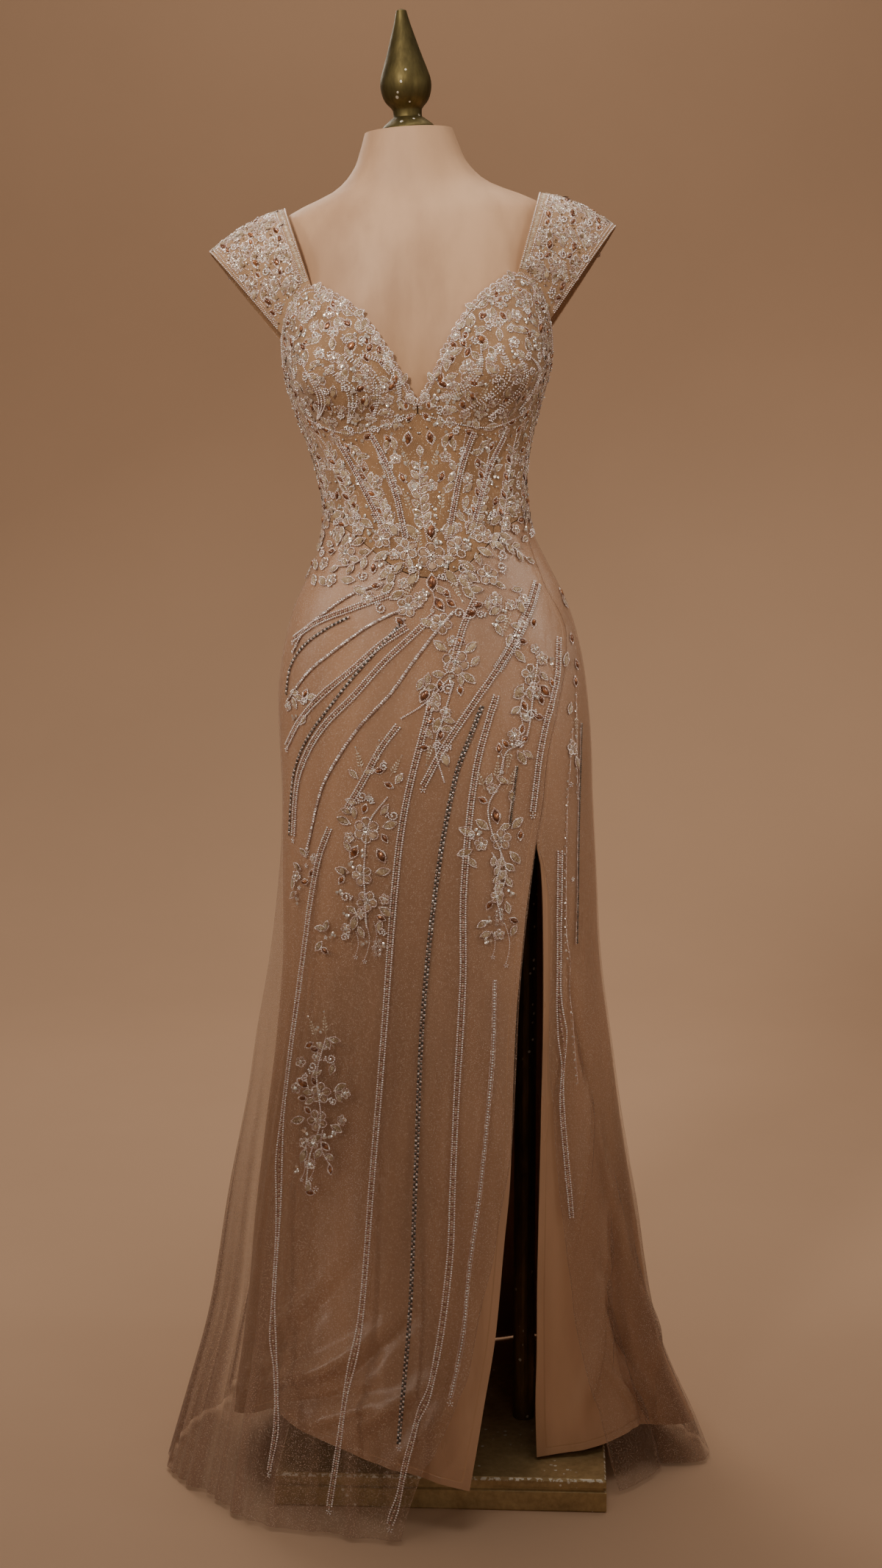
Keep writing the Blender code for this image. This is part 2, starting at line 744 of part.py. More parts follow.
def onto_panel(panel, layer):
    """Lays a trimming on the facets of one skirt panel."""

    def onto(x, height, w):
        return panel.on_facets(angle_at(x, height), height, between(layer.inner, layer.outer, w))

    return onto


def onto_skin(layer, tulle=False):
    """Lays a trimming off the smooth skin, over a seam."""

    def onto(x, height, w):
        out = between(layer.inner, layer.outer, w)
        return off_skin(angle_at(x, height), height, out, tulle=tulle)

    return onto


def build_bands(front, right):
    """Beaded bands on the tulle, each laid on the facets of its panel."""
    half = fixed(BAND_WIDTH / 2)
    for name, line in BANDS.items():
        step = LONG_BAND_STEP if line[-1][1] < LONG_BAND_FOOT else BAND_STEP
        place = strip_place(line, half, onto_panel(front, BEAD_BAND))
        add_wall(name, strip_mesh(line, 1, step), place, "silver_rose_beading")
    place = strip_place(RIGHT_BAND, half, onto_panel(right, BEAD_BAND))
    add_wall("band_right", strip_mesh(RIGHT_BAND, 1, LONG_BAND_STEP), place, "silver_rose_beading")


def build_bones():
    """Four boned strips on the corset's seams."""
    for name, line in BONES.items():
        place = strip_place(line, fixed(BONE_WIDTH / 2), onto_skin(BONE))
        add_wall(name, strip_mesh(line, 1, BAND_STEP), place, "silver_rose_beading")


def build_appliques(front):
    """Floral sprays: thin plates whose width swells at each flower head."""
    for name, spray in SPRAYS.items():

        def half_width(v, spray=spray):
            head = abs(math.sin(math.pi * spray.heads * v)) ** SPRAY_ROUNDNESS
            return spray.width / 2 * between(SPRAY_NECK, 1, head)

        over_seam = name.startswith("applique_waist")
        onto = onto_skin(WAIST_APPLIQUE, True) if over_seam else onto_panel(front, APPLIQUE)
        size = Mesh(2, ROWS_PER_HEAD * spray.heads)
        add_wall(name, size, strip_place(spray.spine, half_width, onto), "silver_rose_beading")


def build_skirt():
    satin = skirt_panels(SATIN, SATIN_HEM, SATIN_SLIT_LEFT, SATIN_SLIT_RIGHT, False)
    tulle = skirt_panels(TULLE, TULLE_HEM, TULLE_SLIT_LEFT, TULLE_SLIT_RIGHT, True)
    layers = (("satin_", "champagne_satin", satin), ("tulle_", "glitter_tulle", tulle))
    for layer, finish, panels in layers:
        for name, panel in panels.items():
            add_wall(layer + name, Mesh(panel.columns, panel.rows), panel.place, finish)
    build_bands(tulle["front"], tulle["right_front"])
    build_appliques(tulle["front"])


# ---- the dress form and its stand ---------------------------------------------------
def build_form():
    """The padded torso: its sections as one closed skin with flat ends."""
    heights = {row.height for row in SECTIONS if row.height >= FORM_BOTTOM}
    heights = sorted(heights | set(FORM_EXTRA_RINGS))
    rings = len(heights) - 1
    mesh = bmesh.new()
    bmesh.ops.create_grid(mesh, x_segments=FORM_COLUMNS, y_segments=rings, size=0.5)
    for corner in mesh.verts:
        height = heights[round((corner.co.y + 0.5) * rings)]
        corner.co = off_skin(360.0 * (corner.co.x + 0.5), height, -FORM_INSET) * MM
    bmesh.ops.remove_doubles(mesh, verts=mesh.verts[:], dist=0.00001)
    bmesh.ops.holes_fill(mesh, edges=[edge for edge in mesh.edges if edge.is_boundary])
    add_object("torso_form", mesh, "form_jersey")


def build_finial():
    """Turned spire on a domed foot, which leans with the neck."""
    data = bpy.data.meshes.new("finial")
    points = [(radius * MM, 0, height * MM) for radius, height in FINIAL_PROFILE]
    data.from_pydata(points, [(i, i + 1) for i in range(len(points) - 1)], [])
    data.materials.append(make_material("old_gilt"))
    finial = bpy.data.objects.new("finial", data)
    bpy.data.collections["evening_gown"].objects.link(finial)
    screw = finial.modifiers.new("turn", "SCREW")
    screw.steps = screw.render_steps = FINIAL_STEPS
    screw.use_merge_vertices = True
    screw.merge_threshold = 0.0001
    screw.use_smooth_shade = True
    neck = section_at(FORM_TOP)
    tilt = -math.atan(LEAN_TILT)
    finial.rotation_euler = (0, tilt, 0)
    seat = Vector((neck.centre, 0, FORM_TOP)) + BODY_SHIFT
    finial.location = (seat + Vector((math.sin(tilt), 0, math.cos(tilt))) * STAND_GAP) * MM


def build_pole():
    foot, head = BASE_PROFILE[-1][0] + STAND_GAP, FORM_BOTTOM - STAND_GAP
    mesh = bmesh.new()
    bmesh.ops.create_cone(
        mesh, cap_ends=True, segments=POLE_SEGMENTS, radius1=POLE_RADIUS * MM, radius2=POLE_RADIUS * MM,
        depth=(head - foot) * MM,
    )
    bmesh.ops.translate(mesh, verts=mesh.verts[:], vec=Vector((POLE_X, 0, (foot + head) / 2)) * MM)
    add_object("pole", mesh, "old_gilt")


def build_base():
    """A flat plinth with a grooved, rounded edge, grown level by level from a box."""
    mesh = bmesh.new()
    bmesh.ops.create_cube(mesh, size=1.0)
    first, second = BASE_PROFILE[0], BASE_PROFILE[1]
    top_faces = [face for face in mesh.faces if face.normal.z > 0.9]

    def set_ring(corners, level):
        height, inset = level
        for corner in corners:
            corner.co.x = math.copysign(BASE_WIDTH / 2 - inset, corner.co.x) * MM
            corner.co.y = math.copysign(BASE_DEPTH / 2 - inset, corner.co.y) * MM
            corner.co.z = height * MM

    set_ring([corner for corner in mesh.verts if corner.co.z < 0], first)
    set_ring(top_faces[0].verts, second)
    for level in BASE_PROFILE[2:]:
        grown = bmesh.ops.extrude_discrete_faces(mesh, faces=top_faces)
        top_faces = grown["faces"]
        set_ring(top_faces[0].verts, level)
    base = add_object("base", mesh, "old_gilt")
    base.rotation_euler = (0, 0, BASE_YAW)


def main():
    clear_scene()
    bpy.context.scene.collection.children.link(bpy.data.collections.new("evening_gown"))
    build_base()
    build_pole()
    build_form()
    build_finial()
    build_bodice()
    build_straps()
    build_skirt()
    build_bones()


main()
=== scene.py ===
"""Looks of a beaded evening gown on a limbless dress form.

Lengths are millimetres and angles degrees until a mesh is written in metres.
Angles run round the body: 0 in front, +90 at +X, 180 behind. The cloth is laid on
the same sections, folds and edges as the solids of the frame.
"""

from __future__ import annotations

import logging
import math
from dataclasses import dataclass, field
from enum import Enum
from typing import Callable, NamedTuple, Sequence

import bmesh
import bpy
import numpy as np
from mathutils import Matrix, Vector


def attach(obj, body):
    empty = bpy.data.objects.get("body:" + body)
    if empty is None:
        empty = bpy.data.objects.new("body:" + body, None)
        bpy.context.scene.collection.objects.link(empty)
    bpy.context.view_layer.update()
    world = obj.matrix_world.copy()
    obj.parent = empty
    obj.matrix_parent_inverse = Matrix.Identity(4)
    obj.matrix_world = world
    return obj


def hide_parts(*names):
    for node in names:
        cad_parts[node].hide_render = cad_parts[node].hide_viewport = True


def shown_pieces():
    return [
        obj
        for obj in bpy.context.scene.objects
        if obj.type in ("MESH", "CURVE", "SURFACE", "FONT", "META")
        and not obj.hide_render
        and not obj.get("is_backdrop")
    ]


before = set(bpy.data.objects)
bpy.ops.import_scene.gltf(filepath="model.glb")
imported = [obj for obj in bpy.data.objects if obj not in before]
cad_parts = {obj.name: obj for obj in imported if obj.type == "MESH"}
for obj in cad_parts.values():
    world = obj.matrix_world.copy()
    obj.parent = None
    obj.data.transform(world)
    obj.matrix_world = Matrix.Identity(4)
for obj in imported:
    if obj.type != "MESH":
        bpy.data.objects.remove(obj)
LOG = logging.getLogger("gown")
Array = np.ndarray
Thing, Socket = bpy.types.Object, bpy.types.NodeSocket
MM = 0.001

# ---- the body and the skirt, as the solids have them ---------------------------
FORM_BOTTOM, FORM_TOP, FORM_INSET = 790.0, 1513.0, 1.5
LEAN_TILT, LEAN_LOW, LEAN_HIGH = 0.062, 900.0, 1400.0
BODY_SHIFT = np.array((-7.0, -10.0, 0.0))


def rows_of(kind: type, *rows: tuple) -> tuple:
    """A table: its rows, each as the kind that names their columns."""
    return tuple(kind(*row) for row in rows)


class Layer(NamedTuple):
    """How far the inner and the outer face of a cloth lie off the form."""

    inner: float
    outer: float


BODICE = Layer(2.4, 3.9)
SATIN = Layer(2.0, 3.4)
TULLE = Layer(3.9, 5.0)


class Section(NamedTuple):
    """Half the body's width and its depths before and behind its line, at a height."""

    height: float
    centre: float
    half: float
    front: float
    back: float


SECTIONS = rows_of(
    Section,
    (0, 30, 268, 205, 352), (47, 24, 257, 197, 330), (120, 13, 238, 186, 290), (200, 7, 223, 174, 256),
    (300, 4, 212, 160, 224), (400, 2, 199, 145, 197), (500, 2, 187, 130, 174), (600, 0, 177, 118, 155),
    (700, -2, 174, 111, 140), (790, -4, 171, 107, 131), (845, -6, 171, 106, 134), (900, -9, 169, 104, 132),
    (950, -10, 162, 101, 123), (1000, -11, 148, 97, 109), (1045, -12, 126, 92, 97),
    (1080, -15, 112, 88, 91), (1110, -17, 109, 86, 89), (1140, -20, 111, 86, 90), (1180, -23, 119, 87, 94),
    (1220, -25, 132, 89, 99), (1260, -25, 142, 90, 104), (1300, -27, 148, 92, 108),
    (1340, -28, 154, 91, 107), (1380, -30, 158, 83, 95), (1408, -31, 155, 73, 80), (1426, -31, 145, 65, 70),
    (1438, -32, 124, 59, 65), (1455, -32, 85, 53, 65), (1475, -33, 64, 50, 60), (1495, -34, 55, 48, 57),
    (1513, -35, 49, 46, 54),
)
BUST_ANGLE, BUST_HEIGHT, BUST_SWELL = 36.0, 1256.0, 34.0
BUST_SPREAD, BUST_ABOVE, BUST_BELOW = 24.0, 64.0, 42.0


class Flare(NamedTuple):
    """How far the tulle stands off the satin at a height, towards each side."""

    height: float
    left: float
    right: float
    front: float
    back: float


FLARES = rows_of(
    Flare,
    (0, 67, 2, 38, 30), (70, 56, 2, 32, 25), (160, 42, 2, 23, 18), (250, 35, 2, 17, 13),
    (340, 30, 2, 11, 9), (430, 24, 1, 7, 6), (515, 22, 1, 4, 4), (600, 14, 1, 2, 2), (700, 3, 0, 1, 1),
    (760, 0, 0, 0, 0),
)


class Fold(NamedTuple):
    """A soft ridge, or a trough where its depth is negative, deeper towards the hem."""

    hem_angle: float
    top_angle: float
    spread: float
    depth: float
    top: float


FOLDS = rows_of(
    Fold,
    (-80, -84, 9, 10, 620), (-62, -70, 9, -9, 600), (-45, -52, 8, 7, 560), (-29, -32, 8, -6, 520),
    (-12, -12, 7, -7, 620), (1, 3, 7, 5, 560), (36, 42, 9, 10, 560), (66, 66, 10, -34, 560),
    (86, 84, 9, 14, 640), (105, 103, 8, -20, 640), (122, 120, 9, 20, 680), (140, 139, 8, -24, 640),
    (158, 158, 9, 22, 700), (177, 178, 9, -22, 660), (196, 196, 9, 22, 700), (214, 215, 8, -24, 640),
    (232, 233, 9, 20, 680), (250, 252, 8, -20, 640),
)
# Finer creases of the satin and of the tulle over it, placed one by one.
SATIN_CREASES = rows_of(
    Fold,
    (-70, -74, 3.2, 2.6, 420), (-53, -58, 2.6, -2.4, 360), (-37, -40, 2.8, 2.8, 330),
    (-20, -22, 2.4, -2.2, 470), (-5, -6, 2.2, 1.8, 300), (30, 34, 2.6, 2.4, 380), (52, 54, 3.4, -4.0, 430),
    (76, 77, 3.0, 3.4, 500), (97, 96, 3.0, -3.2, 420), (113, 112, 3.4, 4.0, 520),
    (131, 130, 2.8, -3.6, 380), (149, 148, 3.2, 3.4, 460), (168, 167, 3.0, -3.4, 420),
    (187, 188, 3.2, 3.8, 500), (205, 205, 2.8, -3.4, 400), (223, 224, 3.4, 3.8, 480),
    (241, 243, 3.0, -3.6, 420), (261, 263, 3.2, 3.4, 520),
)
TULLE_CREASES = rows_of(
    Fold,
    (-41, -44, 1.6, 4.6, 460), (-33, -36, 1.4, 3.4, 360), (-24, -25, 1.6, 4.0, 500),
    (-15, -16, 1.2, 3.0, 330), (-6, -7, 1.5, 4.4, 430), (3, 4, 1.3, 3.6, 350), (9, 13, 1.5, 5.4, 380),
    (62, 58, 1.6, 3.0, 420), (71, 68, 1.5, 3.0, 480), (80, 78, 1.8, 4.6, 540),
)


def gathers(first: float, last: float, step: float) -> tuple[Fold, ...]:
    """Fine gathers of the tulle over a stretch of the hem, no two alike."""
    found = []
    for number in range(int((last - first) / step)):
        wave = math.sin(2.4 * number) + 0.6 * math.sin(5.1 * number + 1)
        angle = first + step * (number + 0.5 + 0.22 * wave)
        lean = 0.045 * (angle + 90 if angle < 0 else 270 - angle)
        found.append((angle, angle - lean, 1.25 + 0.25 * wave, 5.4 + 2.2 * wave, 500 + 90 * wave))
    return rows_of(Fold, *found)


ALL_CREASES = SATIN_CREASES + TULLE_CREASES + gathers(-92, -44, 3.4) + gathers(92, 268, 4.6)


class Ripple(NamedTuple):
    """A short crease: its middle, its lean off the upright, half its length, its width and depth."""

    angle: float
    height: float
    lean: float
    length: float
    width: float
    depth: float


PUDDLE = rows_of(
    Ripple,
    # where the hem hitches up, on the satin alone
    (-62, 146, 58, 46, 8, 8.8), (-54, 128, 70, 50, 7, -8.1), (-47, 150, 64, 60, 8, 10.1),
    (-38, 128, 74, 44, 6, -7.4), (-36, 168, 50, 66, 8, 8.8), (-28, 122, 62, 44, 7, 8.1),
    (-24, 176, 42, 60, 8, -6.8), (-18, 128, 50, 50, 8, 7.4), (-56, 196, 44, 60, 9, 6.8),
    (-44, 214, 38, 70, 9, -6.1), (-68, 112, 66, 36, 7, 6.8), (-8, 108, 38, 46, 7, 5.4),
)
RIPPLES = rows_of(
    Ripple,
    # long soft folds down the front
    (-70, 420, 6, 260, 10, 3.2), (-52, 400, 3, 260, 11, 2.6), (-35, 360, 2, 240, 12, -2.6),
    (-16, 420, 1, 260, 12, 2.6), (4, 380, -2, 240, 12, -2.4), (20, 330, -4, 220, 11, 3.2),
    # beyond the slit
    (45, 548, 16, 90, 7, 6.1), (58, 470, -12, 110, 8, -7.4), (49, 372, 20, 100, 8, 8.1),
    (68, 330, -14, 120, 9, 9.5), (54, 236, 24, 90, 8, 8.8), (64, 176, -26, 80, 8, -8.8),
    (44, 150, 30, 60, 8, 8.1), (74, 120, 22, 70, 9, 10.1), (56, 92, -34, 44, 7, 7.4),
    (84, 210, -12, 110, 9, -8.1),
    # over the hips, where the tulle is drawn to the waist
    (-30, 930, 52, 80, 8, 1.0), (-46, 900, 46, 80, 8, 1.2), (-12, 870, 30, 90, 9, 0.9),
    (24, 890, -30, 80, 9, 0.9), (46, 900, -24, 80, 9, 1.1), (-60, 1040, 66, 30, 6, 1.4),
    (58, 1040, -66, 30, 6, 1.4),
)


# In these tables a value follows its key: a shift or an edge's x after a height, or a height
# after an angle.
Pairs = Sequence[tuple[float, float]]
SET_BACKS = ((0, 88), (50, 80), (200, 55), (400, 30), (600, 8), (750, 0))
SET_BACK_FULL, SET_BACK_NONE = 38.0, 88.0
SEAM_ROWS = (
    (747, 106), (780, 112), (844, 119), (908, 133), (940, 139), (980, 138), (1030, 112), (1110, 86),
)
SATIN_SLIT_LEFT = (
    (40, 31), (134, 51), (219, 66), (388, 79), (553, 85), (634, 92), (675, 96),
) + SEAM_ROWS
SATIN_SLIT_RIGHT = (
    (40, 119), (134, 116), (388, 115), (553, 116), (675, 114), (720, 111),
) + SEAM_ROWS
TULLE_SLIT_LEFT = (
    (0, -45), (20, -40), (73, -20), (110, 0), (147, 17), (185, 31), (240, 43), (318, 61), (434, 79),
    (600, 89),
) + SEAM_ROWS
TULLE_SLIT_RIGHT = (
    (0, 203), (37, 192), (68, 185), (130, 167), (200, 151), (289, 140), (377, 130), (506, 121), (670, 121),
    (720, 113),
) + SEAM_ROWS
TOP_EDGE = (
    (0, 1219), (5, 1239), (9, 1259), (15, 1292), (20, 1311), (29, 1334), (43, 1349), (55, 1334), (69, 1302),
    (80, 1272), (90, 1262), (100, 1266), (110, 1284), (124, 1312), (137, 1325), (150, 1290), (165, 1228),
    (180, 1196),
)
UNDERBUST = ((0, 1211), (16, 1200), (36, 1194), (50, 1202), (64, 1216))
WAIST_SIDE, WAIST_POINT, WAIST_POINT_SPREAD = 1098.0, 62.0, 38.0
SATIN_HEM = (
    (-180, 3), (-125, 3), (-90, 53), (-72, 74), (-56, 98), (-44, 92), (-32, 78), (-18, 64), (-4, 52),
    (10, 42), (30, 46), (60, 52), (90, 42), (120, 3), (180, 3),
)
TULLE_HEM = ((-180, 4), (180, 4))
SEAM_GAP, WAIST_GAP = 0.8, 1.2
CUP_HALF_GAP, BACK_HALF_GAP, CUP_EDGE_GAP, SKIRT_HALF_GAP = 0.35, 0.4, 0.2, 0.25
CORSET_LOW, CORSET_HIGH = 1040.0, 1205.0
# Half the height over which trimmings step from the tulle to the bodice, how many millimetres
# round the skirt a ripple counts for a degree, and the depth that counts as fully gathered.
WAIST_STEP, RIPPLE_REACH, FULL_GATHER = 8.0, 3.4, 6.0


class CorsetSeam(NamedTuple):
    """A corset seam's angle at the waist and at the underbust or above."""

    waist: float
    upper: float

    def angle(self, height: Array) -> Array:
        """Its angle off the front at each height."""
        return between(self.waist, self.upper, ease(CORSET_LOW, CORSET_HIGH, height))


INNER_SEAM, OUTER_SEAM, SIDE_SEAM = CorsetSeam(9, 24), CorsetSeam(34, 62), CorsetSeam(92, 94)
STRAP_FRONT, STRAP_BACK = (43.0, 69.0), (137.0, 110.0)
STRAP_CROWN_INNER, STRAP_CROWN_OUTER = (137.0, 1437.0), (221.0, 1397.0)
STRAP_CROWN_LEVEL = 1408.0
STRAP_PUFF, STRAP_RISE, STRAP_GAP = 7.0, 0.5, 1.0
SIDE_LIMIT = 0.985
FINIAL_PROFILE = (
    (0.0, 127.0), (5.5, 125.0), (9.0, 111.0), (14.5, 93.0), (19.5, 77.0), (25.0, 61.0), (27.5, 51.0),
    (27.0, 41.0), (23.5, 31.0), (17.0, 23.5), (15.6, 20.0), (15.6, 14.0), (17.5, 12.5), (24.0, 7.5),
    (28.5, 3.0), (29.0, 0.0), (0.0, 0.0),
)


# ---- reading the tables ---------------------------------------------------------
def read_rows(rows: Sequence[tuple], keys: Array) -> Array:
    """Reads a table on a smooth curve through its rows.

    Args:
        rows: The table, its first column the key.
        keys: Where it is read.

    Returns:
        One column of values for each column after the first, as an array (columns, keys).
    """
    table = np.array(rows, float)
    keys = np.asarray(keys, float)
    last = len(table) - 1
    low = np.clip(np.searchsorted(table[:, 0], keys, side="right") - 1, 0, last - 1)
    here, there = table[low], table[low + 1]
    before, after = table[np.maximum(low - 1, 0)], table[np.minimum(low + 2, last)]
    span = there[..., 0] - here[..., 0]
    step = np.clip((keys - here[..., 0]) / span, 0.0, 1.0)
    square, cube = step * step, step**3
    columns = []
    for column in range(1, table.shape[1]):
        rise_here = (there[..., column] - before[..., column]) / (there[..., 0] - before[..., 0]) * span
        rise_there = (after[..., column] - here[..., column]) / (after[..., 0] - here[..., 0]) * span
        columns.append(
            here[..., column] * (2 * cube - 3 * square + 1)
            + rise_here * (cube - 2 * square + step)
            + there[..., column] * (3 * square - 2 * cube)
            + rise_there * (cube - square)
        )
    return np.array(columns)


def ease(low: float, high: float, value: Array) -> Array:
    """0 below low, 1 above high, and a soft step between."""
    step = np.clip((value - low) / (high - low), 0.0, 1.0)
    return step * step * (3 - 2 * step)


def even(share: Array) -> Array:
    """Spreads shares of a strap's length evenly, which rises steeply at both ends."""
    return (1.0 - np.cos(math.pi * share)) / 2


def wrapped(angle: Array) -> Array:
    """The angle brought between -180 and 180."""
    return (angle + 180.0) % 360.0 - 180.0


def turn_between(angle: Array, other: Array) -> Array:
    """The shortest turn from one angle to another."""
    return np.abs(wrapped(angle - other))


def nothing(p: Array, q: Array) -> Array:
    """A zero for each place."""
    return np.zeros(np.broadcast(p, q).shape)


def between(low: Array, high: Array, part: Array) -> Array:
    """The value that lies that part of the way from low to high."""
    return low + (high - low) * part


def folds_swell(folds: Sequence[Fold], angle: Array, height: Array) -> Array:
    """The sum of a table of folds at each place."""
    swell = nothing(angle, height)
    for fold in folds:
        growth = np.clip((fold.top - height) / fold.top, 0.0, 1.0)
        middle = fold.hem_angle + (fold.top_angle - fold.hem_angle) * (1 - growth)
        turn = turn_between(angle, middle) / fold.spread
        swell = swell + fold.depth * growth**1.3 * np.exp(-turn * turn)
    return swell


def ripples_swell(ripples: Sequence[Ripple], angle: Array, height: Array) -> Array:
    """The sum of short creases at each place."""
    swell = nothing(angle, height)
    for ripple in ripples:
        across = wrapped(angle - ripple.angle) * RIPPLE_REACH
        up, lean = height - ripple.height, math.radians(ripple.lean)
        along = (up * math.cos(lean) + across * math.sin(lean)) / ripple.length
        aside = (across * math.cos(lean) - up * math.sin(lean)) / ripple.width
        swell = swell + ripple.depth * np.exp(-along * along - aside * aside)
    return swell


def tulle_flare(angle: Array, height: Array) -> Array:
    """How far the tulle stands off the satin."""
    left, right, front, back = read_rows(FLARES, height)
    side, ahead = np.sin(np.radians(angle)), np.cos(np.radians(angle))
    return np.where(side > 0, right, left) * side**2 + np.where(ahead > 0, front, back) * ahead**2


def waist_height(angle: Array) -> Array:
    """The seam between bodice and skirt, which dips to a point in front."""
    return WAIST_SIDE - WAIST_POINT * np.exp(-((angle / WAIST_POINT_SPREAD) ** 2))


# ---- surfaces ---------------------------------------------------------------------
class Ground:
    """A surface on which cloth and trimmings are laid, read by two parameters.

    Attributes:
        steps: How far apart it is read, along each parameter, to find how it runs.
        outward: -1 where the parameters cross the wrong way round, otherwise 1.
    """

    steps = (0.5, 2.0)
    outward = 1

    def at(self, p: Array, q: Array) -> Array:
        """Places on the surface, as an array (n, 3)."""
        raise NotImplementedError

    def lift(self, p: Array, q: Array) -> Array:
        """How far above the surface a trimming's foot lies."""
        return nothing(p, q)

    def runs(self, p: Array, q: Array) -> tuple[Array, Array]:
        """How the surface runs along each parameter, per unit of it."""
        step_p, step_q = self.steps
        along_p = (self.at(p + step_p, q) - self.at(p - step_p, q)) / (2 * step_p)
        along_q = (self.at(p, q + step_q) - self.at(p, q - step_q)) / (2 * step_q)
        return along_p, along_q

    def frames(self, p: Array, q: Array, out: Array) -> tuple[Array, Array, Array, Array]:
        """Places off the surface, each with its sideways, upward and outward direction.

        Args:
            p: The first parameter.
            q: The second parameter.
            out: How far off the surface, along the outward direction.

        Returns:
            The places and the three unit directions.
        """
        along_p, along_q = self.runs(p, q)
        normal = unit(np.cross(along_p, along_q)) * self.outward
        side = unit(along_p)
        return self.at(p, q) + normal * np.asarray(out)[..., None], side, np.cross(normal, side), normal

    def off(self, p: Array, q: Array, out: Array) -> Array:
        """Places off the surface, square to it."""
        return self.frames(p, q, out)[0]

    def metric(self, p: Array, q: Array) -> tuple[Array, Array]:
        """Millimetres per unit of each parameter."""
        along_p, along_q = self.runs(p, q)
        return np.linalg.norm(along_p, axis=-1), np.linalg.norm(along_q, axis=-1)

    def metric_at(self, p: float, q: float) -> tuple[float, float]:
        """Millimetres per unit of each parameter, at one place."""
        wide, high = self.metric(np.array([p]), np.array([q]))
        return float(wide[0]), float(high[0])


def unit(vectors: Array) -> Array:
    """The vectors at length 1."""
    return vectors / np.maximum(np.linalg.norm(vectors, axis=-1, keepdims=True), 1e-9)


@dataclass
class Body(Ground):
    """The form above and the skirt below, by angle and height.

    Attributes:
        tulle: Reads the overskirt in place of the satin one.
        beyond_slit: Reads the panel that falls back from the slit.
        creases: Finer creases laid over the main folds.
        over_cloth: Lifts a trimming on to the outer face of the cloth.
    """

    tulle: bool = False
    beyond_slit: bool = False
    creases: Sequence[Fold] = ()
    over_cloth: bool = False

    def swell(self, angle: Array, height: Array) -> Array:
        """What folds, bust and flare add to the sections."""
        below = height < BUST_HEIGHT
        spread = np.where(below, BUST_BELOW, BUST_ABOVE)
        rise = np.exp(-(((height - BUST_HEIGHT) / spread) ** 2))
        swell = folds_swell(FOLDS, angle, height)
        if self.creases:
            swell = swell + folds_swell(self.creases, angle, height)
            swell = swell + ripples_swell(RIPPLES if self.tulle else RIPPLES + PUDDLE, angle, height)
        for side in (BUST_ANGLE, -BUST_ANGLE):
            swell = swell + BUST_SWELL * rise * np.exp(-((turn_between(angle, side) / BUST_SPREAD) ** 2))
        return swell + tulle_flare(angle, height) if self.tulle else swell

    def at(self, p: Array, q: Array) -> Array:
        """Places at angles p and heights q."""
        p, q = np.broadcast_arrays(np.asarray(p, float), np.clip(q, 0.0, FORM_TOP))
        centre, half, front, back = read_rows(SECTIONS, q)
        side, ahead = np.sin(np.radians(p)), np.cos(np.radians(p))
        swell = self.swell(p, q)
        across = (half + swell) * side
        along = -(np.where(ahead > 0, front, back) + swell) * ahead
        if self.beyond_slit:
            along = along + read_rows(SET_BACKS, q)[0] * (1 - ease(SET_BACK_FULL, SET_BACK_NONE, p))
        rise = LEAN_TILT * across * ease(LEAN_LOW, LEAN_HIGH, q)
        return np.stack((centre + across, along, q + rise), axis=-1) + BODY_SHIFT

    def lift(self, p: Array, q: Array) -> Array:
        """The outer face of the bodice or, below the waist, of the tulle."""
        if not self.over_cloth:
            return nothing(p, q)
        return between(TULLE.outer, BODICE.outer, ease(-WAIST_STEP, WAIST_STEP, q - waist_height(wrapped(p))))


@dataclass
class CapStrap(Ground):
    """A wide strap over one shoulder: p runs from its inner to its outer edge, q to the back.

    Attributes:
        sign: -1 for the strap at -X, 1 for that at +X.
    """

    sign: int
    steps = (0.01, 0.01)
    body: Body = field(default_factory=Body)

    def ends(self, p: Array, angles: tuple[float, float]) -> Array:
        """Where the strap meets the bodice, in front or behind."""
        angle = between(angles[0], angles[1], p)
        height = read_rows(TOP_EDGE, angle)[0] + STRAP_GAP
        return self.body.off(self.sign * angle, height, np.full(p.shape, sum(BODICE) / 2))

    def at(self, p: Array, q: Array) -> Array:
        """Places on the strap."""
        p, q = np.broadcast_arrays(np.clip(p, 0.0, 1.0), np.clip(q, 0.0, 1.0))
        front, back = self.ends(p, STRAP_FRONT), self.ends(p, STRAP_BACK)
        reach = between(STRAP_CROWN_INNER[0], STRAP_CROWN_OUTER[0], p)
        rise = between(STRAP_CROWN_INNER[1], STRAP_CROWN_OUTER[1], p)
        rise = rise + STRAP_PUFF * np.sin(math.pi * p) + LEAN_TILT * self.sign * reach
        middle = read_rows(SECTIONS, STRAP_CROWN_LEVEL)[0]
        crown = np.stack((middle + self.sign * reach, np.zeros(p.shape), rise), axis=-1) + BODY_SHIFT
        arch = (np.sin(math.pi * q) ** STRAP_RISE)[..., None]
        return front + (back - front) * q[..., None] + (crown - (front + back) / 2) * arch

    @property
    def outward(self) -> int:
        """Turns the outward side away from the shoulder."""
        return self.sign


def angle_at(x: Array, height: Array) -> Array:
    """The front angle whose place on the tulle has this x."""
    centre, half, _, _ = read_rows(SECTIONS, height)
    angle = nothing(x, height)
    for _ in range(4):
        reach = half + TULLE.outer + folds_swell(FOLDS, angle, height) + tulle_flare(angle, height)
        angle = np.degrees(np.arcsin(np.clip((x - centre) / reach, -SIDE_LIMIT, SIDE_LIMIT)))
    return angle


# ---- meshes and modelling steps ----------------------------------------------------
def deselect_all() -> None:
    """Leaves nothing selected, in object mode."""
    if bpy.context.object and bpy.context.object.mode != "OBJECT":
        bpy.ops.object.mode_set(mode="OBJECT")
    bpy.ops.object.select_all(action="DESELECT")


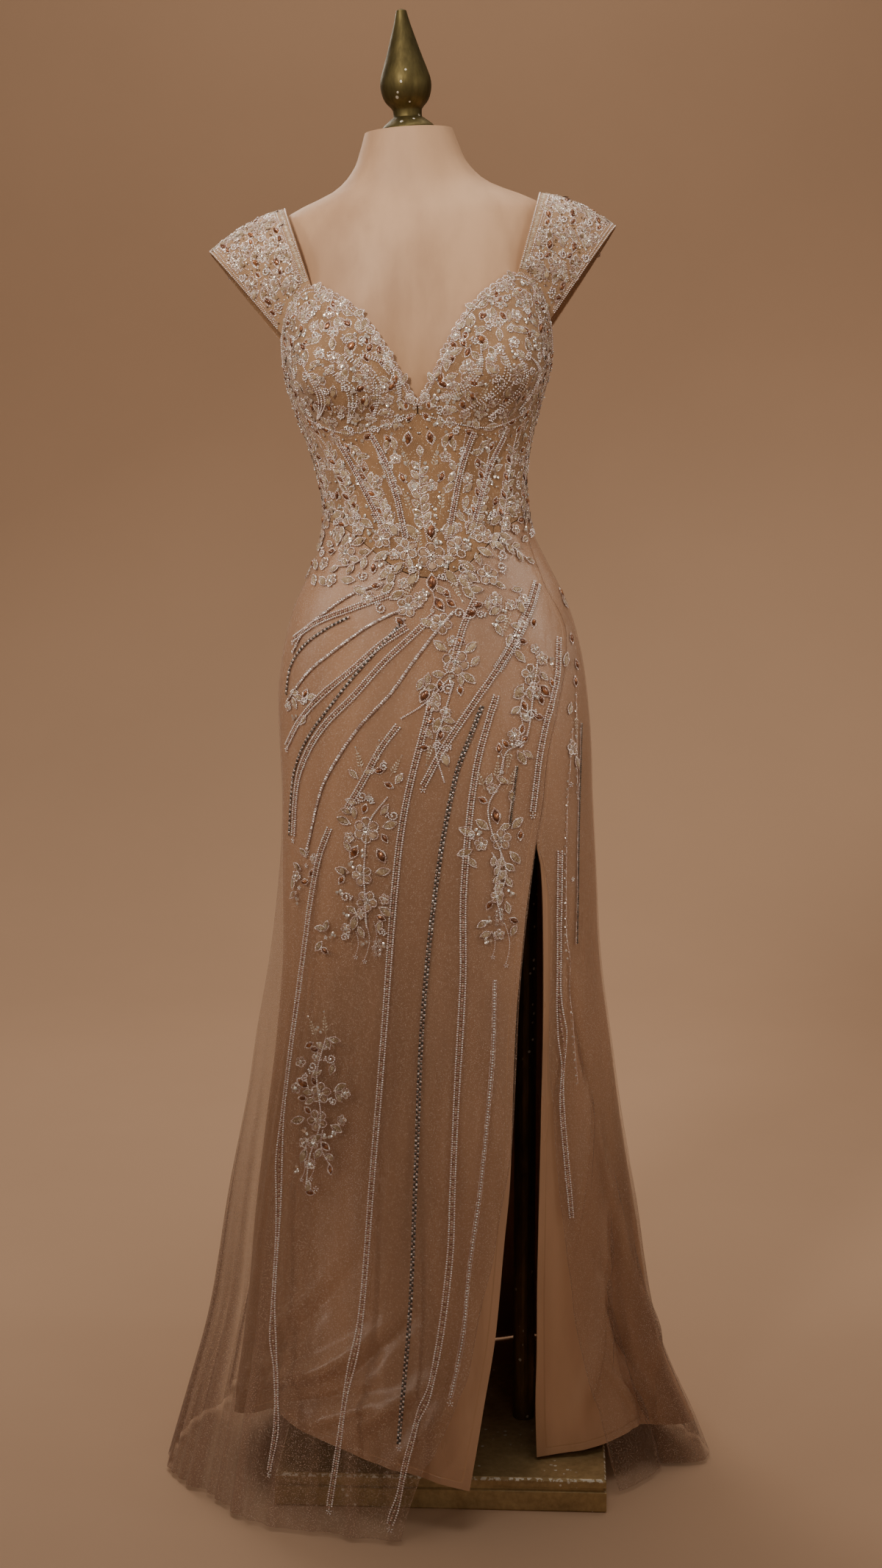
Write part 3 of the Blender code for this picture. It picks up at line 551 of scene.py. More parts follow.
def choose(thing: Thing) -> None:
    """Selects one object alone and makes it the active one."""
    deselect_all()
    thing.select_set(True)
    bpy.context.view_layer.objects.active = thing


def newest(name: str) -> Thing:
    """Names the object that was just added and returns it."""
    thing = bpy.context.object
    thing.name = thing.data.name = name
    return thing


def grid(name: str, columns: int, rows: int) -> tuple[Thing, Array, Array]:
    """Adds a flat grid and returns it with its points' shares across and up."""
    deselect_all()
    bpy.ops.mesh.primitive_grid_add(x_subdivisions=columns, y_subdivisions=rows, size=1)
    thing = newest(name)
    places = get_points(thing)
    return thing, places[:, 0] + 0.5, places[:, 1] + 0.5


def set_points(thing: Thing, points: Array) -> None:
    """Moves a mesh's points, given in millimetres."""
    thing.data.vertices.foreach_set("co", (points * MM).astype(np.float32).ravel())
    thing.data.update()


def get_points(thing: Thing) -> Array:
    """A mesh's points as they are, as an array (n, 3)."""
    points = np.zeros(len(thing.data.vertices) * 3, np.float32)
    thing.data.vertices.foreach_get("co", points)
    return points.reshape(-1, 3).astype(float)


def apply_all(thing: Thing) -> None:
    """Applies the object's modifiers in turn."""
    choose(thing)
    for modifier in list(thing.modifiers):
        bpy.ops.object.modifier_apply(modifier=modifier.name)


def smooth(thing: Thing, angle: float = 60.0) -> None:
    """Shades it smooth, but for edges sharper than the angle."""
    choose(thing)
    bpy.ops.object.shade_smooth_by_angle(angle=math.radians(angle))


def add_number(thing: Thing, name: str, values: Array) -> None:
    """Stores a number for each point, for a material to read."""
    attribute = thing.data.attributes.new(name, "FLOAT", "POINT")
    attribute.data.foreach_set("value", np.asarray(values, np.float32))


def lay_flat(thing: Thing, size: tuple[float, float], low: float = 1.0) -> None:
    """Brings the UV map to metres of cloth, its rows closer at the foot where low is above 1."""
    layer = thing.data.uv_layers.active
    flat = np.zeros(len(thing.data.loops) * 2, np.float32)
    layer.data.foreach_get("uv", flat)
    flat = flat.reshape(-1, 2)
    flat[:, 1] = np.clip(flat[:, 1], 0, 1) ** low
    layer.data.foreach_set("uv", (flat * size).astype(np.float32).ravel())


def face_outward() -> None:
    """Turns the faces of the mesh in edit mode outward and leaves edit mode."""
    bpy.ops.mesh.select_all(action="SELECT")
    bpy.ops.mesh.normals_make_consistent(inside=False)
    bpy.ops.object.mode_set(mode="OBJECT")


class Edge(Enum):
    """Which edges of a cloth are free, and so hemmed."""

    NONE = "none"
    FOOT = "foot"
    LEFT_FOOT = "left and foot"
    RIGHT_FOOT = "right and foot"
    TOP = "top"
    SIDES = "both sides"


@dataclass(frozen=True)
class Cut:
    """A piece of cloth as it was cut flat, in metres."""

    width: float
    length: float
    area: float


@dataclass
class Cloth:
    """A piece of cloth laid on a ground between four edges.

    Attributes:
        name: The piece's name.
        node: The solid that it stands for.
        place: Gives places in millimetres for u, v and how far out.
        columns: Faces across.
        rows: Faces up.
        layer: Its inner and outer face, or the same twice for a net of one layer.
        cut: Its size when cut.
        free: Its hemmed edges.
        low: Above 1, its rows lie closer together towards the foot.
        gather: Gives how tightly it is gathered at u, v.
    """

    name: str
    node: str
    place: Callable[[Array, Array, Array], Array]
    columns: int
    rows: int
    layer: Layer
    cut: Cut
    free: Edge = Edge.NONE
    low: float = 1.0
    gather: Callable[[Array, Array], Array] | None = None

    def build(self, material: bpy.types.Material, slot: str) -> Thing:
        """Args:
            material: Its finish.
            slot: The record's material slot; not used.

        Returns:
            The finished piece.
        """
        piece, u, v = grid(self.name, self.columns, self.rows)
        v = np.clip(v, 0, 1) ** self.low
        set_points(piece, self.place(u, v, np.full(u.shape, sum(self.layer) / 2)))
        self.measure(piece, u, v)
        if self.gather:
            add_number(piece, "gather", self.gather(u, v))
        thickness = self.layer.outer - self.layer.inner
        if thickness > 0:
            solid = piece.modifiers.new("thickness", "SOLIDIFY")
            solid.thickness, solid.offset = thickness * MM, 0.0
            apply_all(piece)
        smooth(piece)
        piece.data.materials.append(material)
        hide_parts(self.node)
        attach(piece, "root")
        LOG.info("cloth %s: %d faces", piece.name, len(piece.data.polygons))
        return piece

    def measure(self, piece: Thing, u: Array, v: Array) -> None:
        """Lays the UV map in metres of cloth and stores how near a free edge each point is."""
        width, length = self.cut.width, self.cut.length
        lay_flat(piece, (width, length), self.low)
        distance = {
            Edge.NONE: np.ones(u.shape),
            Edge.FOOT: v * length,
            Edge.LEFT_FOOT: np.minimum(u * width, v * length),
            Edge.RIGHT_FOOT: np.minimum((1 - u) * width, v * length),
            Edge.TOP: (1 - v) * length,
            Edge.SIDES: np.minimum(u, 1 - u) * width,
        }[self.free]
        add_number(piece, "edge", np.minimum(distance, 1.0))


# ---- finishes -----------------------------------------------------------------------
class Graph:
    """Adds and joins shader nodes in a few words.

    Args:
        tree: The nodes' tree.
        end: The node that the results lead to.
    """

    def __init__(self, tree: bpy.types.NodeTree, end: bpy.types.Node) -> None:
        """Keeps the tree and its end."""
        self.tree, self.end = tree, end

    def join(self, value: object, entry: Socket) -> None:
        """Joins a socket to an input, or sets the input to a plain value."""
        if isinstance(value, Socket):
            self.tree.links.new(value, entry)
        else:
            entry.default_value = value

    def lead(self, value: object, name: str) -> None:
        """Leads a result to the end's input of that name."""
        self.join(value, self.end.inputs[name])

    def add(self, kind: str, inputs: dict | None = None, **settings: object) -> bpy.types.Node:
        """Adds a node, sets its properties and its inputs.

        Args:
            kind: The node's type.
            inputs: Values, or sockets to join, by the input's name or number.
            settings: Properties of the node.

        Returns:
            The node.
        """
        node = self.tree.nodes.new(kind)
        for name, value in settings.items():
            setattr(node, name, value)
        for name, value in (inputs or {}).items():
            self.join(value, node.inputs[name])
        return node

    def maths(self, operation: str, first: object, second: object = 0.0) -> Socket:
        """One step of arithmetic on two numbers."""
        return self.add("ShaderNodeMath", {0: first, 1: second}, operation=operation).outputs[0]

    def plus(self, first: object, second: object) -> Socket:
        """The sum of two numbers."""
        return self.maths("ADD", first, second)

    def less(self, first: object, second: object) -> Socket:
        """The first number less the second."""
        return self.maths("SUBTRACT", first, second)

    def times(self, first: object, second: object) -> Socket:
        """The product of two numbers."""
        return self.maths("MULTIPLY", first, second)

    def most(self, first: object, second: object) -> Socket:
        """The larger of two numbers."""
        return self.maths("MAXIMUM", first, second)

    def off(self, value: object, mark: float) -> Socket:
        """How far a number lies from a mark."""
        return self.maths("ABSOLUTE", self.less(value, mark))

    def mix(self, part: object, low: object, high: object) -> Socket:
        """A colour between two."""
        return self.add("ShaderNodeMix", {0: part, 6: low, 7: high}, data_type="RGBA").outputs[2]

    def ramp(self, value: Socket, low: float, high: float) -> Socket:
        """0 below low, 1 above high."""
        inputs = {"Value": value, "From Min": low, "From Max": high}
        return self.add("ShaderNodeMapRange", inputs, interpolation_type="SMOOTHSTEP").outputs[0]

    def within(self, value: Socket, low: float, high: float) -> Socket:
        """1 below low, 0 above high."""
        return self.less(1.0, self.ramp(value, low, high))

    def stored(self, name: str) -> Socket:
        """A number that the mesh stores for each point."""
        return self.add("ShaderNodeAttribute", attribute_name=name).outputs["Fac"]

    def place(self) -> Socket:
        """Where the shaded point lies on the object."""
        return self.add("ShaderNodeTexCoord").outputs["Object"]


def new_group(name: str, numbers: dict[str, float], *outputs: str) -> tuple[Graph, bpy.types.Node]:
    """Starts a shader node group.

    Args:
        name: Its name.
        numbers: Its input numbers and their values.
        outputs: Its output numbers.

    Returns:
        Its graph, which leads to its outputs, and its input node.
    """
    group = bpy.data.node_groups.new(name, "ShaderNodeTree")
    for label, value in numbers.items():
        socket = group.interface.new_socket(label, in_out="INPUT", socket_type="NodeSocketFloat")
        socket.default_value = value
    for label in outputs:
        group.interface.new_socket(label, in_out="OUTPUT", socket_type="NodeSocketFloat")
    return Graph(group, group.nodes.new("NodeGroupOutput")), group.nodes.new("NodeGroupInput")


def weave_group(name: str) -> bpy.types.NodeTree:
    """The height of a woven or knotted ground on the cloth's own UV map."""
    graph, entry = new_group(name, {"Pitch": 0.0012, "Slant": 0.0}, "Height")
    flat = graph.add("ShaderNodeUVMap").outputs[0]
    across, along, _ = graph.add("ShaderNodeSeparateXYZ", {0: flat}).outputs
    slanted = graph.plus(across, graph.times(along, entry.outputs["Slant"]))
    turns = graph.maths("DIVIDE", 6.2832, entry.outputs["Pitch"])
    warp = graph.maths("SINE", graph.times(slanted, turns))
    weft = graph.maths("SINE", graph.times(along, turns))
    graph.lead(graph.times(warp, weft), "Height")
    return graph.tree


def glitter_group(name: str) -> bpy.types.NodeTree:
    """Scattered flecks: a mask, and a number that differs from fleck to fleck."""
    graph, entry = new_group(name, {"Cell": 0.0022, "Share": 0.3}, "Mask", "Shade")
    scale = graph.maths("DIVIDE", 1.0, entry.outputs["Cell"])
    cells = graph.add("ShaderNodeTexVoronoi", {"Vector": graph.place(), "Scale": scale})
    chance, shade, _ = graph.add("ShaderNodeSeparateColor", {0: cells.outputs["Color"]}).outputs
    chosen = graph.maths("LESS_THAN", chance, entry.outputs["Share"])
    near = graph.maths("LESS_THAN", cells.outputs["Distance"], 0.42)
    graph.lead(graph.times(chosen, near), "Mask")
    graph.lead(shade, "Shade")
    return graph.tree


def tone_group(name: str) -> bpy.types.NodeTree:
    """Slow changes of tone over a piece, with finer ones in them."""
    graph, entry = new_group(name, {"Size": 0.12, "Stretch": 1.0}, "Tone")
    squeeze = graph.add("ShaderNodeCombineXYZ", {0: 1.0, 1: 1.0, 2: entry.outputs["Stretch"]}).outputs[0]
    factors = {0: graph.place(), 1: squeeze}
    spread = graph.add("ShaderNodeVectorMath", factors, operation="MULTIPLY").outputs[0]
    scale = graph.maths("DIVIDE", 1.0, entry.outputs["Size"])
    inputs = {"Vector": spread, "Scale": scale, "Detail": 5.0, "Roughness": 0.55}
    graph.lead(graph.ramp(graph.add("ShaderNodeTexNoise", inputs).outputs[0], 0.3, 0.7), "Tone")
    return graph.tree


class Effect(Enum):
    """The shared effects, each built once."""

    WEAVE = "thread weave"
    GLITTER = "glitter flecks"
    TONE = "uneven tone"

    def placed(self, graph: Graph, **inputs: float) -> Sequence[Socket]:
        """The effect's outputs in a material, with its own values."""
        makers = {Effect.WEAVE: weave_group, Effect.GLITTER: glitter_group, Effect.TONE: tone_group}
        tree = bpy.data.node_groups.get(self.value) or makers[self](self.value)
        return graph.add("ShaderNodeGroup", inputs, node_tree=tree).outputs


Colour = tuple[float, float, float, float]


def tone(red: float, green: float, blue: float) -> Colour:
    """An opaque colour."""
    return (red, green, blue, 1.0)


@dataclass(frozen=True)
class Surface:
    """What every finish has: a name and the shader's plain numbers."""

    name: str
    roughness: float = 0.5
    metallic: float = 0.0
    sheen: float = 0.0
    coat: float = 0.0
    specular: float = 0.5

    def make(self) -> bpy.types.Material:
        """Builds the material."""
        material = bpy.data.materials.new(self.name)
        material.use_nodes = True
        graph = Graph(material.node_tree, material.node_tree.nodes["Principled BSDF"])
        graph.lead(self.roughness, "Roughness")
        graph.lead(self.metallic, "Metallic")
        graph.lead(self.sheen, "Sheen Weight")
        graph.lead(self.coat, "Coat Weight")
        graph.lead(self.specular, "Specular IOR Level")
        self.paint(graph)
        return material

    def paint(self, graph: Graph) -> None:
        """Adds what is this finish's own."""
        raise NotImplementedError

    def duller(self, graph: Graph, value: Socket, more: float) -> None:
        """Makes it rougher by so much where a value is 0."""
        inputs = {"Value": value, "To Min": self.roughness + more, "To Max": self.roughness}
        graph.lead(graph.add("ShaderNodeMapRange", inputs).outputs[0], "Roughness")

    @staticmethod
    def bump(graph: Graph, height: Socket, strength: float, depth: float) -> None:
        """Leads a height to the shader's normal."""
        inputs = {"Height": height, "Strength": strength, "Distance": depth}
        graph.lead(graph.add("ShaderNodeBump", inputs).outputs[0], "Normal")


@dataclass(frozen=True)
class SatinFinish(Surface):
    """Smooth satin, fine twill, stitched hem; its soft vertical streaks of tone are partly painted sheen and
    fold shade.
    """

    light: Colour = tone(0.63, 0.365, 0.22)
    deep: Colour = tone(0.41, 0.228, 0.132)
    seam: Colour = tone(0.53, 0.30, 0.17)
    hem: float = 0.009

    def paint(self, graph: Graph) -> None:
        """Adds the twill, the streaked tones with their painted sheen and the stitching."""
        soft = Effect.TONE.placed(graph, Size=0.16, Stretch=0.3)[0]
        twill = Effect.WEAVE.placed(graph, Pitch=0.0011, Slant=0.6)[0]
        stitch = graph.within(graph.off(graph.stored("edge"), self.hem), 0.0004, 0.0014)
        # The streaked tone runs from deep to light: random tone in part, painted sheen and fold shade in part.
        graph.lead(graph.mix(stitch, graph.mix(soft, self.deep, self.light), self.seam), "Base Color")
        self.duller(graph, soft, 0.06)
        height = graph.plus(graph.times(twill, 0.05), graph.times(soft, 4.5))
        self.bump(graph, graph.less(height, graph.times(stitch, 0.25)), 0.5, 0.0012)


@dataclass(frozen=True)
class TulleFinish(Surface):
    """Sheer net with flecks of glitter painted near white as glints, denser on its edge."""

    net: Colour = tone(0.315, 0.175, 0.112)
    # The fleck colours are painted glints: near white whatever the light.
    fleck: Colour = tone(1.0, 0.86, 0.74)
    deep_fleck: Colour = tone(0.72, 0.46, 0.30)
    cover: float = 0.15

    def paint(self, graph: Graph) -> None:
        """Adds the net, its flecks and how much each hides."""
        mask, shade = Effect.GLITTER.placed(graph, Cell=0.00065, Share=0.19)
        mesh = Effect.WEAVE.placed(graph, Pitch=0.0016, Slant=0.5)[0]
        soft = Effect.TONE.placed(graph, Size=0.09, Stretch=0.25)[0]
        edge = graph.within(graph.stored("edge"), 0.0008, 0.0035)
        # Flecks are painted near white, brighter or dimmer at random: painted glints on the real glitter.
        graph.lead(graph.mix(mask, self.net, graph.mix(shade, self.deep_fleck, self.fleck)), "Base Color")
        graph.lead(graph.less(self.roughness, graph.times(mask, 0.36)), "Roughness")
        graph.lead(graph.times(mask, 0.1), "Metallic")
        thin = graph.plus(self.cover, graph.times(mesh, 0.07))
        thin = graph.plus(thin, graph.times(soft, 0.10))
        thin = graph.plus(thin, graph.times(graph.stored("gather"), 0.52))
        solid = graph.most(thin, graph.times(mask, 0.92))
        graph.lead(graph.most(solid, graph.times(edge, 0.45)), "Alpha")
        self.bump(graph, graph.plus(graph.times(mask, shade), graph.times(mesh, 0.2)), 0.55, 0.0009)


@dataclass(frozen=True)
class MeshFinish(Surface):
    """Soft nude net over a lining, with the threads of the embroidery's ground."""

    light: Colour = tone(0.40, 0.215, 0.10)
    deep: Colour = tone(0.21, 0.105, 0.045)
    fleck: Colour = tone(0.72, 0.52, 0.37)
    pitch: float = 0.0015

    def paint(self, graph: Graph) -> None:
        """Adds the net, its threads and a few flecks."""
        soft = Effect.TONE.placed(graph, Size=0.035, Stretch=1.0)[0]
        mesh = Effect.WEAVE.placed(graph, Pitch=self.pitch, Slant=0.58)[0]
        mask = Effect.GLITTER.placed(graph, Cell=0.0012, Share=0.10)[0]
        # The soft tone runs from deep to light: random tone in part, painted shade of creases in the net in
        # part.
        cloth = graph.mix(soft, self.deep, self.light)
        thread = graph.mix(graph.ramp(mesh, -0.2, 0.6), cloth, self.light)
        graph.lead(graph.mix(mask, thread, self.fleck), "Base Color")
        graph.lead(graph.less(self.roughness, graph.times(mask, 0.3)), "Roughness")
        self.bump(graph, graph.plus(mesh, graph.times(soft, 1.5)), 0.45, 0.0006)


@dataclass(frozen=True)
class JerseyFinish(Surface):
    """Thin stretched jersey with a fine rib and a soft shine."""

    light: Colour = tone(0.69, 0.425, 0.255)
    deep: Colour = tone(0.47, 0.27, 0.155)

    def paint(self, graph: Graph) -> None:
        """Adds the tones and the rib."""
        soft = Effect.TONE.placed(graph, Size=0.10, Stretch=0.35)[0]
        rib = Effect.WEAVE.placed(graph, Pitch=0.0013, Slant=0.0)[0]
        graph.lead(graph.mix(soft, self.deep, self.light), "Base Color")
        self.duller(graph, soft, 0.08)
        self.bump(graph, graph.plus(graph.times(rib, 0.10), graph.times(soft, 1.2)), 0.35, 0.001)


@dataclass(frozen=True)
class GiltFinish(Surface):
    """Aged gilt: dull olive gold, darker in random patches, chipped to pale ground, and pale along an edge at
    one level, which is partly wear and partly a painted highlight.
    """

    gold: Colour = tone(0.165, 0.127, 0.047)
    dark: Colour = tone(0.05, 0.037, 0.013)
    chip_and_highlight: Colour = tone(0.72, 0.66, 0.55)
    stretch: float = 1.0
    chips: float = 0.62
    shine: float = 0.85
    rubbed_and_highlit_level: float = 0.0

    def paint(self, graph: Graph) -> None:
        """Adds the gold, its darker patches, its chips and a pale edge at one level, part wear and part painted
        highlight.
        """
        soft = Effect.TONE.placed(graph, Size=0.05, Stretch=self.stretch)[0]
        fine = Effect.TONE.placed(graph, Size=0.006, Stretch=self.stretch)[0]
        spots = Effect.GLITTER.placed(graph, Cell=0.0045, Share=0.06)[0]
        patch = graph.times(spots, graph.ramp(soft, self.chips, self.chips + 0.1))
        # A pale band at one height: worn gilt along the top edge, partly a painted highlight where the edge
        # catches light.
        if self.rubbed_and_highlit_level:
            level = graph.add("ShaderNodeSeparateXYZ", {"Vector": graph.place()}).outputs["Z"]
            edge = graph.within(graph.off(level, self.rubbed_and_highlit_level), 0.0008, 0.0022)
            patch = graph.most(patch, graph.times(edge, graph.ramp(fine, 0.42, 0.6)))
        worn = graph.plus(graph.times(soft, 0.6), graph.times(fine, 0.4))
        graph.lead(graph.mix(patch, graph.mix(worn, self.dark, self.gold), self.chip_and_highlight), "Base Color")
        graph.lead(graph.times(graph.less(1.0, patch), self.shine), "Metallic")
        self.duller(graph, worn, 0.2)
        self.bump(graph, graph.plus(worn, patch), 0.4, 0.0008)


@dataclass(frozen=True)
class TrimFinish(Surface):
    """Beads, stones, sequins and thread: two tones that change from one to the next, the lighter partly a
    painted glint.
    """

    light: Colour = tone(1.0, 0.95, 0.93)
    deep: Colour = tone(0.92, 0.76, 0.73)
    cell: float = 0.0035

    def paint(self, graph: Graph) -> None:
        """Adds the tones and a fine grain."""
        place = graph.place()
        cells = graph.add("ShaderNodeTexVoronoi", {"Vector": place, "Scale": 1 / self.cell})
        shade = graph.add("ShaderNodeSeparateColor", {0: cells.outputs["Color"]}).outputs[0]
        # Parts take the light tone at random: partly their own differing colour, partly painted glints.
        graph.lead(graph.mix(graph.ramp(shade, 0.35, 0.95), self.deep, self.light), "Base Color")
        self.duller(graph, shade, 0.12)
        grain = graph.add("ShaderNodeTexNoise", {"Vector": place, "Scale": 900.0}).outputs[0]
        self.bump(graph, grain, 0.25, 0.0004)


@dataclass(frozen=True)
class PaperFinish(Surface):
    """Pale backdrop paper that is seen from its front alone."""

    pale: Colour = tone(0.565, 0.37, 0.245)
    darker: float = 0.93

    def paint(self, graph: Graph) -> None:
        """Adds slow tones and hides the back."""
        soft = Effect.TONE.placed(graph, Size=1.4)[0]
        dark = tone(*(self.darker * value for value in self.pale[:3]))
        graph.lead(graph.mix(soft, dark, self.pale), "Base Color")
        graph.lead(graph.less(1.0, graph.add("ShaderNodeNewGeometry").outputs["Backfacing"]), "Alpha")


SATIN_FINISH = SatinFinish("champagne satin", 0.24, sheen=0.05, specular=0.8)
TULLE_FINISH = TulleFinish("glitter tulle", 0.62, sheen=0.1)
# The plain net is darker than the cups' net: partly their lining, partly painted shade on the corset.
MESH_FINISH = MeshFinish("nude mesh", 0.68, sheen=0.2)
CUP_FINISH = MeshFinish(
    "cup mesh", 0.62, sheen=0.2, light=tone(0.44, 0.25, 0.125), deep=tone(0.23, 0.118, 0.055)
)
STRAP_FINISH = MeshFinish(
    "strap mesh", 0.6, sheen=0.2, light=tone(0.50, 0.30, 0.165), deep=tone(0.34, 0.19, 0.10), pitch=0.002
)
JERSEY_FINISH = JerseyFinish("form jersey", 0.46, sheen=0.05, specular=0.35)
# The base's top edge at 36.6 mm is painted pale: wear there and a painted highlight.
BASE_FINISH = GiltFinish(
    "base gilt", 0.38, gold=tone(0.50, 0.35, 0.165), dark=tone(0.27, 0.175, 0.075), shine=0.35, rubbed_and_highlit_level=0.0366
)
POLE_FINISH = GiltFinish(
    "pole gilt", 0.4, gold=tone(0.24, 0.155, 0.07), dark=tone(0.07, 0.045, 0.02), stretch=0.2
)
FINIAL_FINISH = GiltFinish("finial gilt", 0.42, stretch=0.22, chips=0.5)
PAPER_FINISH = PaperFinish("pale paper", 0.85, specular=0.2)


# ---- trimmings: the stamps that motifs are made of ------------------------------------
class Kind(Enum):
    """The small parts that are sewn on."""

    BEAD = "bead"
    SEED = "seed"
    SQUARE = "square"
    JET = "jet bead"
    TILE = "silver tile"
    CRYSTAL = "crystal"
    STONE = "stone"
    BLADE = "petal"
    LEAF = "leaf"
    STITCH = "stitch"
    SEQUIN = "sequin"
    BRONZE = "bronze bead"


TRIM_FINISHES = {
    Kind.BEAD: TrimFinish("silver rose beads", 0.15, 0.3, coat=0.8),
    Kind.SEED: TrimFinish(
        "silver seed beads", 0.16, 0.35, coat=0.7, light=tone(0.99, 0.86, 0.82), deep=tone(0.60, 0.42, 0.37)
    ),
    Kind.SQUARE: TrimFinish(
        "rose squares", 0.3, 0.3, coat=0.3, light=tone(0.60, 0.37, 0.29), deep=tone(0.34, 0.18, 0.13)
    ),
    Kind.JET: TrimFinish(
        "jet beads", 0.18, 0.3, coat=0.6, light=tone(0.19, 0.155, 0.125), deep=tone(0.055, 0.046, 0.038)
    ),
    Kind.TILE: TrimFinish(
        "silver tiles", 0.12, 0.45, coat=0.8, light=tone(1.0, 0.90, 0.87), deep=tone(0.52, 0.37, 0.32),
        cell=0.003,
    ),
    Kind.CRYSTAL: TrimFinish(
        "crystal chain", 0.12, 0.3, coat=0.8, light=tone(1.0, 0.96, 0.93), deep=tone(0.70, 0.62, 0.60)
    ),
    Kind.STONE: TrimFinish(
        "copper sequins", 0.24, 0.5, coat=0.6, light=tone(0.48, 0.20, 0.085), deep=tone(0.17, 0.06, 0.026)
    ),
    Kind.BLADE: TrimFinish(
        "petal thread", 0.5, 0.0, sheen=0.2, light=tone(0.44, 0.28, 0.175), deep=tone(0.33, 0.195, 0.115)
    ),
    Kind.LEAF: TrimFinish(
        "leaf thread", 0.5, 0.0, sheen=0.2, light=tone(0.42, 0.29, 0.17), deep=tone(0.31, 0.20, 0.11)
    ),
    Kind.STITCH: TrimFinish(
        "stem thread", 0.4, 0.15, sheen=0.3, light=tone(0.86, 0.74, 0.60), deep=tone(0.58, 0.45, 0.33)
    ),
    Kind.SEQUIN: TrimFinish(
        "silver sequins", 0.14, 0.6, coat=0.5, light=tone(0.98, 0.93, 0.88), deep=tone(0.74, 0.62, 0.54)
    ),
    Kind.BRONZE: TrimFinish(
        "bronze beads", 0.28, 0.6, coat=0.3, light=tone(0.42, 0.27, 0.16), deep=tone(0.22, 0.13, 0.07)
    ),
}


@dataclass(frozen=True)
class Stamp:
    """A small part modelled once, one unit wide and one long, its foot at z 0.

    Attributes:
        sides: Corners of its outline.
        table: Size of its flat top beside its foot; 0 gives a dished disc with a raised middle.
        height: How high it stands beside its width.
    """

    sides: int
    table: float
    height: float

    def model(self) -> tuple[Array, list[list[int]]]:
        """Models the part and returns its corners and faces."""
        deselect_all()
        if self.table:
            square = self.sides == 4
            radius = math.sqrt(0.5) if square else 0.5
            bpy.ops.mesh.primitive_cone_add(
                vertices=self.sides, radius1=radius, radius2=radius * self.table, depth=self.height,
                location=(0, 0, self.height / 2), rotation=(0, 0, math.pi / 4 if square else 0),
            )
        else:
            bpy.ops.mesh.primitive_circle_add(vertices=self.sides, radius=0.5, fill_type="TRIFAN")
        part = newest("stamp")
        bpy.ops.object.mode_set(mode="EDIT")
        if self.table:
            face_outward()
        else:
            bpy.ops.mesh.select_all(action="DESELECT")
            mesh = bmesh.from_edit_mesh(part.data)
            for corner in mesh.verts:
                corner.select = corner.co.length < 0.01
            mesh.select_flush_mode()
            bmesh.update_edit_mesh(part.data)
            bpy.ops.transform.translate(value=(0, 0, self.height))
            bpy.ops.object.mode_set(mode="OBJECT")
        bpy.ops.object.transform_apply(location=True, rotation=True, scale=True)
        corners = get_points(part)
        faces = [list(face.vertices) for face in part.data.polygons]
        bpy.data.objects.remove(part, do_unlink=True)
        return corners, faces


STAMPS = {
    Kind.BEAD: Stamp(5, 0.58, 0.48),
    Kind.SEED: Stamp(6, 0.0, 0.45),
    Kind.SQUARE: Stamp(4, 0.7, 0.30),
    Kind.TILE: Stamp(4, 0.72, 0.30),
    Kind.JET: Stamp(4, 0.74, 0.34),
    Kind.CRYSTAL: Stamp(6, 0.50, 0.45),
    Kind.STONE: Stamp(6, 0.62, 0.16),
    Kind.BLADE: Stamp(6, 0.0, 0.10),
    Kind.LEAF: Stamp(6, 0.0, 0.14),
    Kind.STITCH: Stamp(4, 0.0, 0.30),
    Kind.SEQUIN: Stamp(6, 0.0, 0.12),
    Kind.BRONZE: Stamp(5, 0.60, 0.50),
}


def lengths_along(places: Array) -> Array:
    """How far along a line each of its places lies."""
    steps = np.linalg.norm(np.diff(places, axis=0), axis=1)
    return np.concatenate(([0.0], np.cumsum(steps)))


def walk(line: Array, ends: Array, marks: Array) -> Array:
    """Both coordinates at so many millimetres along a line."""
    return np.array([np.interp(marks, ends, line[:, axis]) for axis in (0, 1)])


@dataclass
class Motif:
    """Small parts laid out flat, in millimetres, +Y its tip.

    Attributes:
        rows: Kind, x, y, turn, width, length and how far above the cloth.
    """

    rows: list[tuple] = field(default_factory=list)

    def put(
        self, kind: Kind, x: float, y: float, turn: float, width: float, length: float | None = None,
        out: float = 0.0,
    ) -> "Motif":
        """Adds one part."""
        self.rows.append((kind, x, y, turn, width, length or width, out))
        return self

    def chain(
        self, kind: Kind, line: Pairs, pitch: float, width: float, length: float | None = None,
        out: float = 0.0,
    ) -> "Motif":
        """Adds a row of parts along a line, each turned along it."""
        points = np.array(line, float)
        ends = lengths_along(points)
        count = max(2, round(ends[-1] / pitch) + 1)
        for place in np.linspace(0.0, ends[-1], count):
            x, y = walk(points, ends, place)
            run_x, run_y = walk(points, ends, place + 0.4) - walk(points, ends, place - 0.4)
            self.put(kind, float(x), float(y), math.degrees(math.atan2(-run_x, run_y)), width, length, out)
        return self

    def join(self, other: "Motif", x: float, y: float, turn: float = 0.0, size: float = 1.0) -> "Motif":
        """Adds another motif, moved, turned and scaled."""
        cosine, sine = math.cos(math.radians(turn)), math.sin(math.radians(turn))
        for kind, far, up, own, width, length, out in other.rows:
            grain = width if kind in (Kind.SEED, Kind.BEAD, Kind.STITCH) else width * size
            self.put(
                kind, x + size * (far * cosine - up * sine), y + size * (far * sine + up * cosine),
                own + turn, grain, length * grain / width, out,
            )
        return self


def lens_line(width: float, length: float, steps: int = 14) -> Pairs:
    """A closed outline, pointed at both ends, from its foot at the origin."""
    parts = [step / steps for step in range(steps + 1)]
    right = [(width / 2 * math.sin(math.pi * part), length * part) for part in parts]
    return right + [(-x, y) for x, y in reversed(right)]


